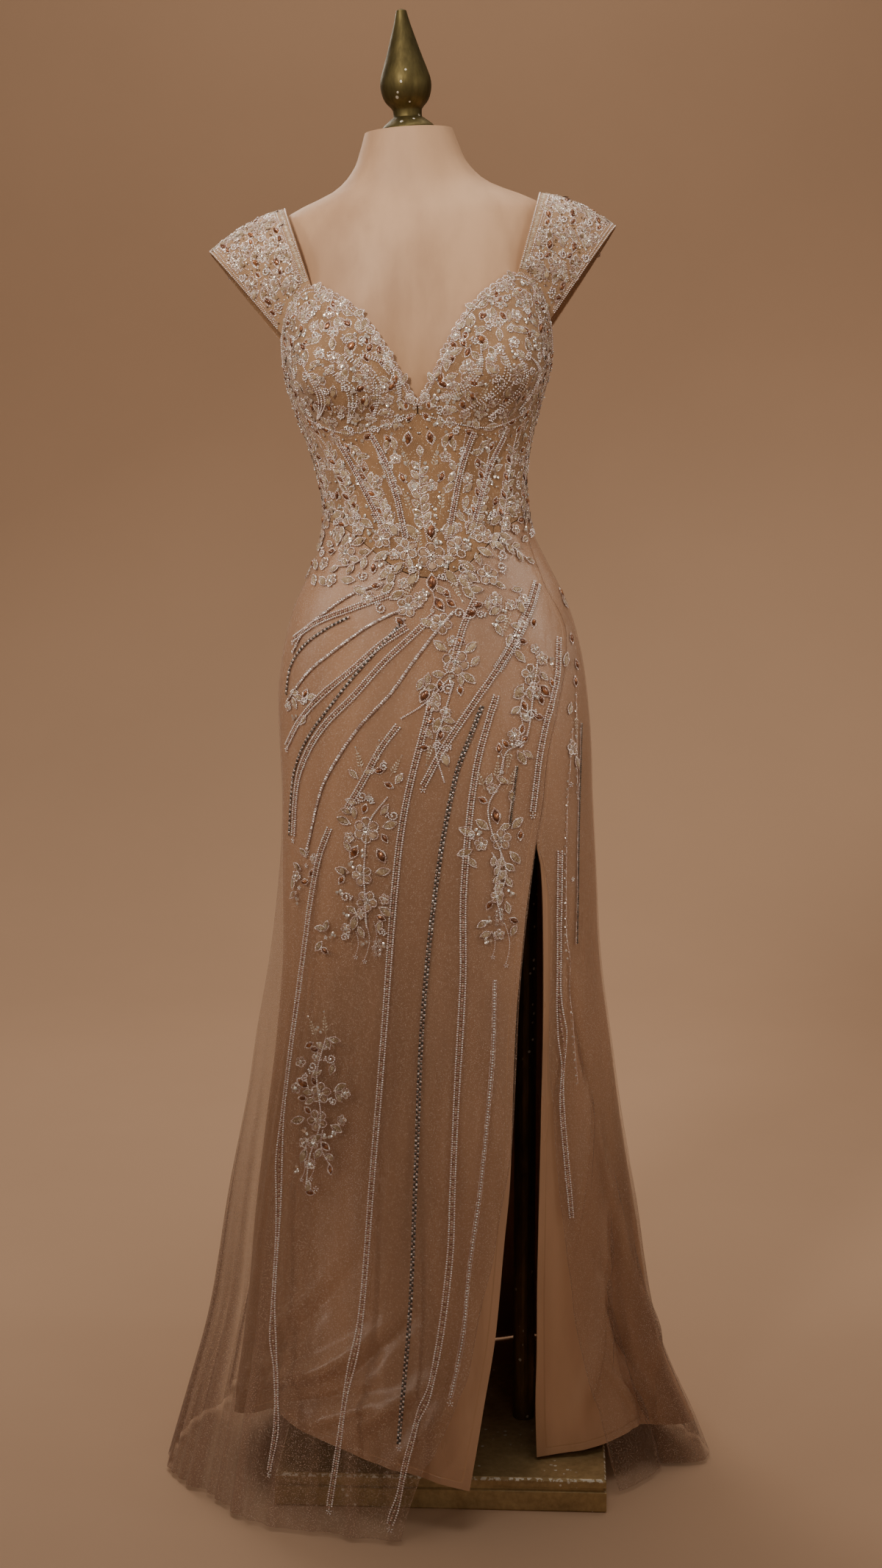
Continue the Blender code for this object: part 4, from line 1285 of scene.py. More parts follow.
def leaf(length: float = 15.0, width: float = 7.6, stone: bool = False) -> Motif:
    """A leaf outlined in beads, with a stitched or a copper heart."""
    motif = Motif()
    if stone:
        motif.put(Kind.STONE, 0, length * 0.5, 0, width * 0.72, length * 0.78, 0.3)
    else:
        motif.put(Kind.LEAF, 0, length * 0.5, 0, width * 0.9, length * 0.94, 0.1)
        motif.chain(Kind.STITCH, [(0, length * 0.12), (0, length * 0.86)], 2.4, 1.1, 2.7, 0.9)
        for part in (0.3, 0.5):
            for side in (-1, 1):
                x, y = side * width * 0.17, length * (part + 0.06)
                motif.put(Kind.STITCH, x, y, -side * 38, 0.9, width * 0.4, 0.8)
    return motif.chain(Kind.SEED, lens_line(width, length), 1.8, 2.05)


def flower(size: float, petals: int = 5) -> Motif:
    """A flower of round outlined petals about a sequin heart."""
    motif = Motif()
    foot, long, wide = size * 0.1, size * 0.38, size * 0.36
    round_it = np.linspace(0, 2 * math.pi, 15)
    ring = [(wide / 2 * math.sin(turn), foot + long / 2 * (1 - math.cos(turn))) for turn in round_it]
    petal = Motif().put(Kind.BLADE, 0, foot + long * 0.5, 0, wide * 0.85, long * 0.85, 0.1)
    petal.chain(Kind.STITCH, [(0, size * 0.12), (0, foot + long * 0.75)], 2.4, 1.0, 2.6, 0.8)
    petal.chain(Kind.SEED, ring, 1.8, 2.0)
    for number in range(petals):
        motif.join(petal, 0, 0, 360.0 * number / petals)
    for number in range(3):
        x, y = size * 0.07 * math.cos(number * 2.1), size * 0.07 * math.sin(number * 2.1)
        motif.put(Kind.SEQUIN, x, y, 40 * number, 3.2, None, 0.7 + 0.3 * number)
    return motif


def marquise(length: float = 12.0, width: float = 7.2) -> Motif:
    """A long copper sequin in a ring of beads."""
    motif = Motif().put(Kind.STONE, 0, length * 0.5, 0, width * 0.76, length * 0.84, 0.3)
    return motif.chain(Kind.SEED, lens_line(width, length, 10), 1.8, 1.8)


def coins() -> Motif:
    """A few round sequins side by side."""
    motif, random = Motif(), np.random.default_rng(5)
    for number in range(4):
        x, y = random.uniform(-3.4, 3.4, 2)
        motif.put(Kind.SEQUIN, float(x), float(y), 25 * number, 3.8, None, 0.4 + 0.3 * number)
    return motif


def sprig(length: float, pairs: int) -> Motif:
    """A thread stem with small stitched leaves and a bead at its tip."""
    motif = Motif().chain(Kind.STITCH, [(0, 0), (0.5, length * 0.5), (0, length)], 2.0, 0.7, 2.3, 0.1)
    for number in range(pairs):
        rise = length * (0.22 + 0.66 * number / pairs)
        reach = 4.6 - 0.6 * number
        for side in (-1, 1):
            motif.put(Kind.STITCH, side * reach * 0.48, rise + reach * 0.42, -side * 48, 1.9, reach, 0.2)
    return motif.put(Kind.SEQUIN, 0, length + 1.5, 0, 2.4, None, 0.2)


def curl(size: float = 12.0) -> Motif:
    """A beaded scroll that winds in to a sequin."""
    turns, line = 1.2, []
    for step in range(26):
        part = step / 25
        radius = size / 2 * (1 - 0.72 * part)
        angle = math.pi + 2 * math.pi * turns * part
        line.append((size / 2 + radius * math.cos(angle), size * 0.45 + radius * math.sin(angle)))
    motif = Motif().chain(Kind.BEAD, [(0, 0)] + line, 2.1, 2.5)
    return motif.put(Kind.SEQUIN, line[-1][0], line[-1][1], 0, 3.4, None, 0.2)


def star(size: float = 5.0) -> Motif:
    """Five drop-shaped beads about a crystal."""
    motif = Motif().put(Kind.CRYSTAL, 0, 0, 0, size * 0.32)
    drop = Motif().put(Kind.BEAD, 0, size * 0.38, 0, 1.5, size * 0.42)
    for number in range(5):
        motif.join(drop, 0, 0, 72.0 * number)
    return motif


def dangler(length: float = 26.0, bend: float = 3.0) -> Motif:
    """A string of beads that hangs down to a star."""
    line = [(bend * math.sin(math.pi * step / 10), -length * step / 10) for step in range(11)]
    return Motif().chain(Kind.BEAD, line, 2.0, 1.5).join(star(), 0, -length - 2.5)


def ring_rows() -> Motif:
    """Two columns of four small rings, each round a sequin."""
    motif = Motif()
    for column in range(2):
        for row in range(4):
            x, y = (column - 0.5) * 5.2, -5.0 * row + 1.2 * column
            motif.put(Kind.SEQUIN, x, y, 0, 2.4, None, 0.1)
            for angle in np.linspace(0, 2 * math.pi, 7)[:-1]:
                motif.put(Kind.SEED, x + 2.1 * math.cos(angle), y + 2.1 * math.sin(angle), 0, 1.2)
    return motif


def feather(length: float = 58.0, bow: float = 12.0, width: float = 5.6) -> Motif:
    """A long bowed plume of three rows of beads that meet at both ends."""
    motif = Motif()
    parts = np.linspace(0.0, 1.0, 17)
    swell = np.maximum(0.0, np.sin(math.pi * np.minimum(1.0, 0.06 + parts))) ** 0.8
    for share in (0.0, 0.5, 1.0):
        x = bow * np.sin(math.pi * parts) + share * width * swell
        motif.chain(Kind.BEAD, list(zip(x, length * parts)), 2.2, 2.5, 2.2, 0.2)
    return motif


def scallop(width: float, height: float = 4.2) -> Motif:
    """One small arch of a lace edge, with a thread petal in it."""
    arch = [(width / 2 * math.cos(a), height * math.sin(a)) for a in np.linspace(0, math.pi, 9)]
    motif = Motif().chain(Kind.SEED, arch, 1.9, 2.0)
    return motif.put(Kind.BLADE, 0, height * 0.35, 90, height * 0.9, width * 0.66, 0.0)


def branch(length: float, leaves: int, bow: float, stones: bool = True) -> Motif:
    """A bowed stem with leaves on both sides and a leaf at its tip."""
    line = [(bow * math.sin(math.pi * step / 12), length * step / 12) for step in range(13)]
    motif = Motif().chain(Kind.BEAD, line, 2.1, 2.0)
    for number in range(leaves):
        part = 0.12 + 0.78 * number / leaves
        side = -1 if number % 2 else 1
        lean = math.degrees(math.atan2(-bow * math.pi * math.cos(math.pi * part), length))
        size = 0.95 - 0.15 * part
        x, y = bow * math.sin(math.pi * part), length * part
        motif.join(leaf(stone=stones and number % 4 == 1), x, y, lean - side * 44, size)
    return motif.join(leaf(stone=stones), 0, length, 0, 0.8)


class Tray:
    """Collects motifs for one ground and pours them into one mesh.

    Args:
        ground: What they are sewn to.
        seed: Starts the small differences between the parts.

    Attributes:
        models: The stamps that were modelled so far.
        tilt: How far parts lean at random, as a slope.
    """

    models: dict[Kind, tuple[Array, list[list[int]]]] = {}
    tilt = 0.22

    def __init__(self, ground: Ground, seed: int) -> None:
        """Starts empty."""
        self.ground = ground
        self.random = np.random.default_rng(seed)
        self.found: dict[Kind, list[Array]] = {kind: [] for kind in Kind}
        self.marks: list[Array] = []

    def lay(
        self, motif: Motif, p: float, q: float, turn: float = 0.0, size: float = 1.0, out: float = 0.0
    ) -> None:
        """Lays a motif with its origin at p, q."""
        wide, high = self.ground.metric_at(p, q)
        laid = Motif().join(motif, 0.0, 0.0, turn, size)
        for kind in sorted({row[0] for row in laid.rows}, key=list(Kind).index):
            table = np.array([row[1:] for row in laid.rows if row[0] is kind], float)
            table[:, 0] = p + table[:, 0] / wide
            table[:, 1] = q + table[:, 1] / high
            table[:, 5] += out
            self.found[kind].append(table)
            self.marks.append(table[:, :2])

    def free(self, p: float, q: float, reach: float) -> bool:
        """Whether no part lies within that many millimetres of a place."""
        if not self.marks:
            return True
        if len(self.marks) > 1:
            self.marks = [np.concatenate(self.marks)]
        wide, high = self.ground.metric_at(p, q)
        aside, above = (self.marks[0][:, 0] - p) * wide, (self.marks[0][:, 1] - q) * high
        return bool((aside * aside + above * above > reach * reach).all())

    def run(self, kind: Kind, p: Array, q: Array, turn: Array, width: float, length: float, out: float) -> None:
        """Lays single parts at places on the ground."""
        rows = np.stack(np.broadcast_arrays(p, q, turn, width, length, out), axis=-1).astype(float)
        self.found[kind].append(rows)

    def pour(self, name: str, replaces: Sequence[str] = ()) -> Thing:
        """Makes the mesh and sets it on the gown.

        Args:
            name: The piece's name.
            replaces: Solids that it stands for.

        Returns:
            The piece.
        """
        corners, loops, sizes, finishes = [], [], [], []
        data = bpy.data.meshes.new(name)
        base = 0
        for kind, found in self.found.items():
            if not found:
                continue
            rows = np.concatenate(found)
            if kind not in Tray.models:
                Tray.models[kind] = STAMPS[kind].model()
            shape, faces = Tray.models[kind]
            flat = np.array([corner for face in faces for corner in face])
            offsets = base + np.arange(len(rows)) * len(shape)
            corners.append(self.stamp_out(shape, rows))
            loops.append((offsets[:, None] + flat[None, :]).ravel())
            sizes.append(np.tile([len(face) for face in faces], len(rows)))
            finishes.append(np.full(len(rows) * len(faces), len(data.materials)))
            base += len(rows) * len(shape)
            data.materials.append(trim_material(kind))
        loops, sizes = np.concatenate(loops), np.concatenate(sizes)
        starts = np.concatenate(([0], np.cumsum(sizes)[:-1]))
        data.vertices.add(base)
        data.loops.add(len(loops))
        data.polygons.add(len(sizes))
        data.vertices.foreach_set("co", (np.concatenate(corners) * MM).astype(np.float32).ravel())
        data.loops.foreach_set("vertex_index", loops.astype(np.int32))
        data.polygons.foreach_set("loop_start", starts.astype(np.int32))
        data.polygons.foreach_set("material_index", np.concatenate(finishes).astype(np.int32))
        data.update(calc_edges=True)
        data.validate()
        piece = bpy.data.objects.new(name, data)
        bpy.context.scene.collection.objects.link(piece)
        if replaces:
            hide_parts(*replaces)
        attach(piece, "root")
        LOG.info("trimming %s: %d triangles", name, int((sizes - 2).sum()))
        return piece

    def stamp_out(self, shape: Array, rows: Array) -> Array:
        """Every part's corners, set on the ground with a small lean of its own."""
        p, q, turn, width, length, out = rows.T
        out = out + self.ground.lift(p, q)
        origin, side, up, normal = self.ground.frames(p, q, out)
        lean = self.random.normal(0.0, self.tilt, (2, len(p), 1))
        tilted = unit(normal + lean[0] * side + lean[1] * up)
        side = unit(np.cross(up, tilted))
        up = np.cross(tilted, side)
        cosine, sine = np.cos(np.radians(turn))[:, None], np.sin(np.radians(turn))[:, None]
        across = (side * cosine + up * sine) * width[:, None]
        along = (up * cosine - side * sine) * length[:, None]
        rise = tilted * np.minimum(width, length)[:, None]
        places = origin[:, None, :]
        for axis, way in enumerate((across, along, rise)):
            places = places + way[:, None, :] * shape[None, :, axis : axis + 1]
        return places.reshape(-1, 3)


def trim_material(kind: Kind) -> bpy.types.Material:
    """The material of one kind of part, made once."""
    finish = TRIM_FINISHES[kind]
    return bpy.data.materials.get(finish.name) or finish.make()


# ---- cloth between edges ------------------------------------------------------------------
Line = Callable[[Array], Array]


def fixed(value: float) -> Line:
    """An edge at one angle or height."""
    return lambda other: np.full(np.shape(other), value)


def slit_edge(rows: Pairs, shift: float) -> Line:
    """The angle of a slit's edge at each height."""
    return lambda height: angle_at(read_rows(rows, height)[0] + shift, height)


def rim(rows: Pairs, shift: float = 0.0) -> Line:
    """The height of an edge at each angle off the front."""
    return lambda angle: read_rows(rows, turn_between(angle, 0))[0] + shift


def corset_seam(seam: CorsetSeam, sign: int, shift: float = 0.0) -> Line:
    """A corset seam's angle at each height, on one side of the front."""

    def angle(height: Array) -> Array:
        """The angle, with the seam's gap."""
        return sign * (seam.angle(height) + np.degrees(shift / read_rows(SECTIONS, height)[1]))

    return angle


@dataclass
class Panel:
    """A piece of cloth between four edges of the body.

    Attributes:
        body: What it lies on.
        left: Its first edge, an angle at a height.
        right: Its other edge.
        top: Its top, a height at an angle.
        foot: Its foot.
    """

    body: Body
    left: Line
    right: Line
    top: Line
    foot: Line

    def solve(self, u: Array, v: Array) -> tuple[Array, Array]:
        """The angle and height at u across and v up."""
        height = 0.5 * (self.top(np.zeros(u.shape)) + self.foot(np.zeros(u.shape)))
        for _ in range(5):
            angle = between(self.left(height), self.right(height), u)
            height = between(self.foot(angle), self.top(angle), v)
        return angle, height

    def place(self, u: Array, v: Array, out: Array) -> Array:
        """Places at u across and v up, that far off the form."""
        return self.body.off(*self.solve(u, v), out)

    def gather(self, u: Array, v: Array) -> Array:
        """How tightly the cloth is gathered, from 0 to 1."""
        angle, height = self.solve(u, v)
        return np.clip(folds_swell(self.body.creases, angle, height) / FULL_GATHER, 0.0, 1.0)


class SkirtPart(NamedTuple):
    """One part of the skirt: its faces across and up, its free edges and its two cuts."""

    columns: int
    rows: int
    free: Edge
    satin: Cut
    tulle: Cut


SKIRT_PARTS = {
    "front": SkirtPart(104, 140, Edge.RIGHT_FOOT, Cut(0.41, 1.09, 0.355), Cut(0.43, 1.16, 0.41)),
    "right_front": SkirtPart(56, 130, Edge.LEFT_FOOT, Cut(0.25, 1.09, 0.135), Cut(0.21, 1.14, 0.135)),
    "back_right": SkirtPart(70, 96, Edge.FOOT, Cut(0.52, 1.10, 0.33), Cut(0.58, 1.16, 0.37)),
    "back_left": SkirtPart(70, 96, Edge.FOOT, Cut(0.52, 1.10, 0.33), Cut(0.63, 1.16, 0.385)),
}


@dataclass
class Skirt:
    """Satin underskirt and tulle overskirt, open along a slit.

    Attributes:
        finer: How many more rows and columns the tulle has than the satin.
        crowding: How much closer the rows of both lie towards the hem.
    """

    finer: float = 1.3
    crowding: float = 1.35

    def panels(self, tulle: bool) -> dict[str, Panel]:
        """The four panels of one layer."""
        half_gap, turn = SEAM_GAP / 2, SKIRT_HALF_GAP
        creases = ALL_CREASES if tulle else SATIN_CREASES
        rows = (TULLE_SLIT_LEFT, TULLE_SLIT_RIGHT) if tulle else (SATIN_SLIT_LEFT, SATIN_SLIT_RIGHT)
        edges = {
            "front": (fixed(-90 + turn), slit_edge(rows[0], -half_gap)),
            "right_front": (slit_edge(rows[1], half_gap), fixed(90 - turn)),
            "back_right": (fixed(90 + turn), fixed(180 - turn)),
            "back_left": (fixed(180 + turn), fixed(270 - turn)),
        }
        hem = TULLE_HEM if tulle else SATIN_HEM

        def foot(angle: Array) -> Array:
            """The hem's height."""
            return read_rows(hem, wrapped(angle))[0]

        def top(angle: Array) -> Array:
            """The waist seam's height."""
            return waist_height(angle) - WAIST_GAP / 2

        return {
            name: Panel(Body(tulle, name == "right_front", creases), left, right, top, foot)
            for name, (left, right) in edges.items()
        }

    def build(self) -> list[Thing]:
        """Hangs both layers."""
        made = []
        for tulle in (False, True):
            material = (TULLE_FINISH if tulle else SATIN_FINISH).make()
            finer, kind = (self.finer, "tulle_") if tulle else (1.0, "satin_")
            layer = Layer(sum(TULLE) / 2, sum(TULLE) / 2) if tulle else SATIN
            for name, panel in self.panels(tulle).items():
                part = SKIRT_PARTS[name]
                cloth = Cloth(
                    "cloth_" + kind + name, kind + name, panel.place, int(part.columns * finer),
                    int(part.rows * finer), layer, part.tulle if tulle else part.satin, part.free,
                    self.crowding, panel.gather if tulle else None,
                )
                made.append(cloth.build(material, "glitter_tulle" if tulle else "champagne_satin"))
        return made


@dataclass
class Bodice:
    """Corset panels, cups and backs of nude mesh, and the wide straps."""

    centre_cut: Cut = Cut(0.11, 0.175, 0.011)
    corset_cut: Cut = Cut(0.085, 0.165, 0.0088)
    cup_cut: Cut = Cut(0.24, 0.175, 0.020)
    side_cut: Cut = Cut(0.10, 0.26, 0.012)
    back_cut: Cut = Cut(0.285, 0.235, 0.031)
    strap_cut: Cut = Cut(0.10, 0.30, 0.024)
    strap_layer: Layer = Layer(-0.7, 0.7)

    def panels(self) -> list[tuple[str, Sequence[Line], int, int, Cut]]:
        """Each panel's name, its left, right, top and lower edge, faces across and up, and cut."""
        half_gap = SEAM_GAP / 2

        def waist(angle: Array) -> Array:
            """The waist seam's height."""
            return waist_height(angle) + WAIST_GAP / 2

        under, over, top = rim(UNDERBUST, -half_gap), rim(UNDERBUST, half_gap), rim(TOP_EDGE)
        inner = [corset_seam(INNER_SEAM, sign, -half_gap) for sign in (-1, 1)]
        found = [("bodice_centre_front", (*inner, under, waist), 22, 30, self.centre_cut)]
        for side, sign in (("left", -1), ("right", 1)):
            past_inner, past_outer, past_side = (
                corset_seam(seam, sign, half_gap) for seam in (INNER_SEAM, OUTER_SEAM, SIDE_SEAM)
            )
            to_outer, to_side = (corset_seam(seam, sign, -half_gap) for seam in (OUTER_SEAM, SIDE_SEAM))
            middle, back = fixed(sign * CUP_HALF_GAP), fixed(sign * (180 - BACK_HALF_GAP))
            edge = fixed(sign * (OUTER_SEAM.upper - CUP_EDGE_GAP))
            found += [
                ("bodice_side_front_" + side, (past_inner, to_outer, under, waist), 22, 30, self.corset_cut),
                ("cup_" + side, (middle, edge, top, over), 48, 38, self.cup_cut),
                ("bodice_side_" + side, (past_outer, to_side, top, waist), 26, 36, self.side_cut),
                ("bodice_back_" + side, (past_side, back, top, waist), 46, 40, self.back_cut),
            ]
        return found

    def build(self) -> list[Thing]:
        """Makes the panels and the straps."""
        plain, cups, band = MESH_FINISH.make(), CUP_FINISH.make(), STRAP_FINISH.make()
        made = []
        for name, edges, columns, rows, cut in self.panels():
            is_cup = name.startswith("cup")
            free = Edge.TOP if "back" in name or is_cup else Edge.NONE
            place = Panel(Body(), *edges).place
            cloth = Cloth("cloth_" + name, name, place, columns, rows, BODICE, cut, free)
            made.append(cloth.build(cups if is_cup else plain, "nude_mesh"))
        for name, sign in (("strap_left", -1), ("strap_right", 1)):
            place, cut = CapStrap(sign).off, self.strap_cut
            cloth = Cloth("cloth_" + name, name, place, 26, 84, self.strap_layer, cut, Edge.SIDES)
            made.append(cloth.build(band, "nude_mesh"))
        return made


# ---- the form and its stand ------------------------------------------------------------------
@dataclass
class Stand:
    """The limbless form, its finial, pole and base.

    Attributes:
        columns: Faces round the form.
        rows: Faces up the form.
        turns: Faces round the finial.
        rings: Rings between two rows of the finial's profile.
        tip: The size of the finial's last ring beside the one below it.
        gap: How far the finial stands off the neck.
        jersey: The skin's flat size in metres.
    """

    columns: int = 96
    rows: int = 110
    turns: int = 56
    rings: int = 3
    tip: float = 0.2
    gap: float = 0.3
    jersey: tuple[float, float] = (0.92, 0.72)

    def form(self) -> Thing:
        """The jersey skin, closed at the neck and the hips."""
        skin, round_it, up_it = grid("form_jersey_skin", self.columns, self.rows)
        angle, height = 360.0 * round_it, between(FORM_BOTTOM, FORM_TOP, up_it)
        set_points(skin, Body().off(angle, height, np.full(angle.shape, -FORM_INSET)))
        lay_flat(skin, self.jersey)
        bpy.ops.object.mode_set(mode="EDIT")
        bpy.ops.mesh.select_all(action="SELECT")
        bpy.ops.mesh.remove_doubles(threshold=0.00001)
        bpy.ops.mesh.select_all(action="DESELECT")
        bpy.ops.mesh.select_non_manifold()
        bpy.ops.mesh.fill_holes(sides=0)
        face_outward()
        smooth(skin, 40.0)
        skin.data.materials.append(JERSEY_FINISH.make())
        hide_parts("torso_form")
        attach(skin, "root")
        return skin

    def finial(self) -> Thing:
        """The turned spire, grown ring by ring from its foot and leaned with the neck."""
        levels = [(height, radius) for radius, height in reversed(FINIAL_PROFILE[1:-1])]
        keys = np.linspace(0, len(levels) - 1, (len(levels) - 1) * self.rings + 1)
        table = [(float(place), *level) for place, level in enumerate(levels)]
        heights, radii = read_rows(table, keys)
        deselect_all()
        bpy.ops.mesh.primitive_circle_add(vertices=self.turns, radius=radii[0] * MM, fill_type="NGON")
        finial = newest("turned_finial")
        bpy.ops.object.mode_set(mode="EDIT")
        bpy.ops.mesh.select_all(action="SELECT")
        heights = [*heights, FINIAL_PROFILE[0][1]]
        radii = [*radii, radii[-1] * self.tip]
        for low, high, here, there in zip(heights, heights[1:], radii, radii[1:]):
            bpy.ops.mesh.extrude_region_move(TRANSFORM_OT_translate={"value": (0, 0, (high - low) * MM)})
            share = there / here
            bpy.ops.transform.resize(value=(share, share, 1), center_override=(0, 0, high * MM))
        face_outward()
        tilt = -math.atan(LEAN_TILT)
        neck = read_rows(SECTIONS, FORM_TOP)[0]
        lean = np.array((math.sin(tilt), 0.0, math.cos(tilt)))
        finial.rotation_euler = (0, tilt, 0)
        finial.location = Vector((np.array((neck, 0.0, FORM_TOP)) + BODY_SHIFT + lean * self.gap) * MM)
        bpy.ops.object.transform_apply(location=True, rotation=True, scale=True)
        smooth(finial, 45.0)
        finial.data.materials.append(FINIAL_FINISH.make())
        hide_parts("finial")
        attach(finial, "root")
        return finial

    def dress_nodes(self) -> None:
        """Gives the base and the pole their aged gilt."""
        for name, finish in (("base", BASE_FINISH), ("pole", POLE_FINISH)):
            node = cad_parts[name]
            for slot in node.material_slots:
                slot.material = finish.make()

    def build(self) -> list[Thing]:
        """Makes the form and the finial, and dresses the rest."""
        self.dress_nodes()
        return [self.form(), self.finial()]


# ---- beaded bands --------------------------------------------------------------------------------
class Weight(Enum):
    """How a band is beaded."""

    LADDER = "two rows of silver rose beads with squares between"
    CHAIN = "a row of silver tiles"
    DARK = "silver tiles and jet, two rows in checks"
    MIXED = "a row of silver tiles and jet in turn"
    JET = "a row of jet and a row of seeds"
    CRYSTAL = "a chain of crystals"
    SEEDS = "a row of seeds and sequins"
    BONE = "two rows of beads with squares and seeds between, raised on a bone"


class Band(NamedTuple):
    """A band's solid, its beading, and its line of x and height down the front."""

    node: str
    weight: Weight
    line: Pairs
    beyond: bool = False


BANDS = (
    Band("band_hip_1", Weight.LADDER, ((-55, 1018), (-103, 1000), (-137, 985), (-163, 965))),
    Band(
        "band_hip_2", Weight.CHAIN,
        ((-20, 1006), (-47, 1000), (-79, 984), (-112, 960), (-145, 932), (-170, 898)),
    ),
    Band(
        "band_hip_3", Weight.LADDER,
        ((-36, 984), (-63, 966), (-95, 938), (-128, 909), (-157, 875), (-172, 846)),
    ),
    Band(
        "band_hip_4", Weight.LADDER,
        ((-6, 998), (-32, 974), (-63, 945), (-95, 909), (-127, 876), (-148, 842), (-160, 805), (-165, 745)),
    ),
    Band(
        "band_hip_5", Weight.CHAIN,
        ((14, 1000), (-8, 975), (-32, 944), (-55, 912), (-87, 878), (-111, 844), (-131, 806), (-149, 735)),
    ),
    Band(
        "band_long_1", Weight.LADDER,
        ((-123, 762), (-135, 727), (-148, 655), (-171, 469), (-182, 311), (-186, 199), (-180, 110),
         (-188, 60)),
    ),
    Band(
        "band_long_2", Weight.LADDER,
        ((-12, 898), (-37, 800), (-48, 727), (-62, 547), (-75, 391), (-89, 235), (-105, 139), (-123, 30)),
    ),
    Band("band_sweep", Weight.LADDER, ((106, 1026), (97, 1000), (74, 956), (41, 909), (2, 852), (-20, 812))),
    Band(
        "band_long_3", Weight.DARK,
        ((45, 899), (36, 876), (16, 822), (-6, 700), (-21, 547), (-27, 400), (-33, 250), (-47, 104)),
    ),
    Band(
        "band_long_4", Weight.LADDER,
        ((60, 910), (38, 828), (25, 700), (24, 595), (12, 375), (9, 300), (-6, 190), (-37, 90), (-55, 20)),
    ),
    Band("band_slit_top", Weight.LADDER, ((130, 968), (128, 925), (119, 890), (109, 844), (101, 780))),
    Band(
        "band_slit_edge", Weight.CRYSTAL, ((59, 599), (55, 493), (43, 375), (31, 289), (20, 200), (10, 155)),
    ),
    Band("band_right", Weight.LADDER, ((132, 735), (132, 600), (134, 469), (140, 391), (147, 320)), True),
    Band("", Weight.MIXED, ((-99, 994), (-126, 979), (-150, 960), (-166, 936), (-172, 904))),
    Band(
        "", Weight.MIXED,
        ((-38, 994), (-64, 964), (-97, 927), (-124, 893), (-148, 858), (-163, 820), (-168, 780), (-170, 745)),
    ),
    Band("", Weight.LADDER, ((-46, 878), (-67, 850), (-86, 815), (-104, 784))),
    Band("", Weight.LADDER, ((37, 1012), (24, 983), (14, 950), (8, 936))),
    Band("", Weight.CHAIN, ((-62, 1030), (-96, 1018), (-128, 996), (-150, 976), (-164, 950))),
    Band("", Weight.JET, ((83, 832), (79, 800), (75, 768))),
    Band("", Weight.SEEDS, ((146, 868), (140, 772), (141, 627), (154, 469)), True),
    Band("", Weight.JET, ((156, 872), (153, 748), (152, 627)), True),
    Band("", Weight.SEEDS, ((150, 908), (152, 788)), True),
)


class Row(NamedTuple):
    """A row of parts along a line.

    The part, from one to the next, its width, its length along the line, how far beside the line
    and above the cloth it lies, and how far along all of them move.
    """

    kind: Kind
    pitch: float
    width: float
    length: float
    aside: float = 0.0
    out: float = 0.0
    slip: float = 0.0


BEADING = {
    Weight.LADDER: (
        Row(Kind.BEAD, 2.5, 2.75, 2.5, -2.75), Row(Kind.BEAD, 2.5, 2.75, 2.5, 2.75),
        Row(Kind.SQUARE, 5.4, 2.7, 3.0, 0.0, 0.1), Row(Kind.STITCH, 5.4, 3.2, 1.6, 0.0, 0.1, 2.7),
    ),
    Weight.CHAIN: (Row(Kind.TILE, 2.9, 3.6, 3.3),),
    Weight.MIXED: (Row(Kind.TILE, 5.2, 3.3, 2.9), Row(Kind.JET, 5.2, 3.0, 2.6, slip=2.6)),
    Weight.DARK: (
        Row(Kind.JET, 5.6, 2.5, 2.9, -1.35, slip=-1.4), Row(Kind.TILE, 5.6, 2.4, 2.6, -1.35, slip=1.4),
        Row(Kind.JET, 5.6, 2.5, 2.9, 1.35, slip=1.4), Row(Kind.TILE, 5.6, 2.4, 2.6, 1.35, slip=-1.4),
    ),
    Weight.JET: (Row(Kind.JET, 2.3, 2.0, 2.0, -1.0), Row(Kind.SEED, 1.7, 1.5, 1.5, 1.0)),
    Weight.CRYSTAL: (
        Row(Kind.CRYSTAL, 3.1, 2.9, 2.9),
        Row(Kind.SEED, 1.7, 1.2, 1.4, -2.0), Row(Kind.SEED, 1.7, 1.2, 1.4, 2.0),
    ),
    Weight.SEEDS: (Row(Kind.SEED, 1.8, 1.5, 1.5), Row(Kind.SEQUIN, 9.0, 2.6, 2.6, 1.8)),
    Weight.BONE: (
        Row(Kind.BEAD, 2.4, 2.5, 2.3, -2.4, 1.2), Row(Kind.BEAD, 2.4, 2.5, 2.3, 2.4, 1.2),
        Row(Kind.SQUARE, 4.8, 2.4, 2.7, 0.0, 1.2), Row(Kind.SEED, 4.8, 2.2, 1.8, 0.0, 1.3, 2.4),
    ),
}
BONES = {
    "bone_inner_left": ((-74, 1190), (-54, 1146), (-38, 1078)),
    "bone_inner_right": ((35, 1190), (21, 1146), (8, 1078)),
    "bone_outer_left": ((-110, 1184), (-90, 1146), (-60, 1084)),
    "bone_outer_right": ((68, 1184), (51, 1146), (34, 1084)),
}
LINE_STEPS = 160


def on_front(points: Pairs) -> Array:
    """A smooth line of angles and heights through places of x and height."""
    table = np.array(points, float)
    ends = lengths_along(table)
    rows = [(float(end), *place) for end, place in zip(ends, table)]
    x, height = read_rows(rows, np.linspace(0.0, ends[-1], LINE_STEPS))
    return np.stack((angle_at(x, height), height), axis=-1)


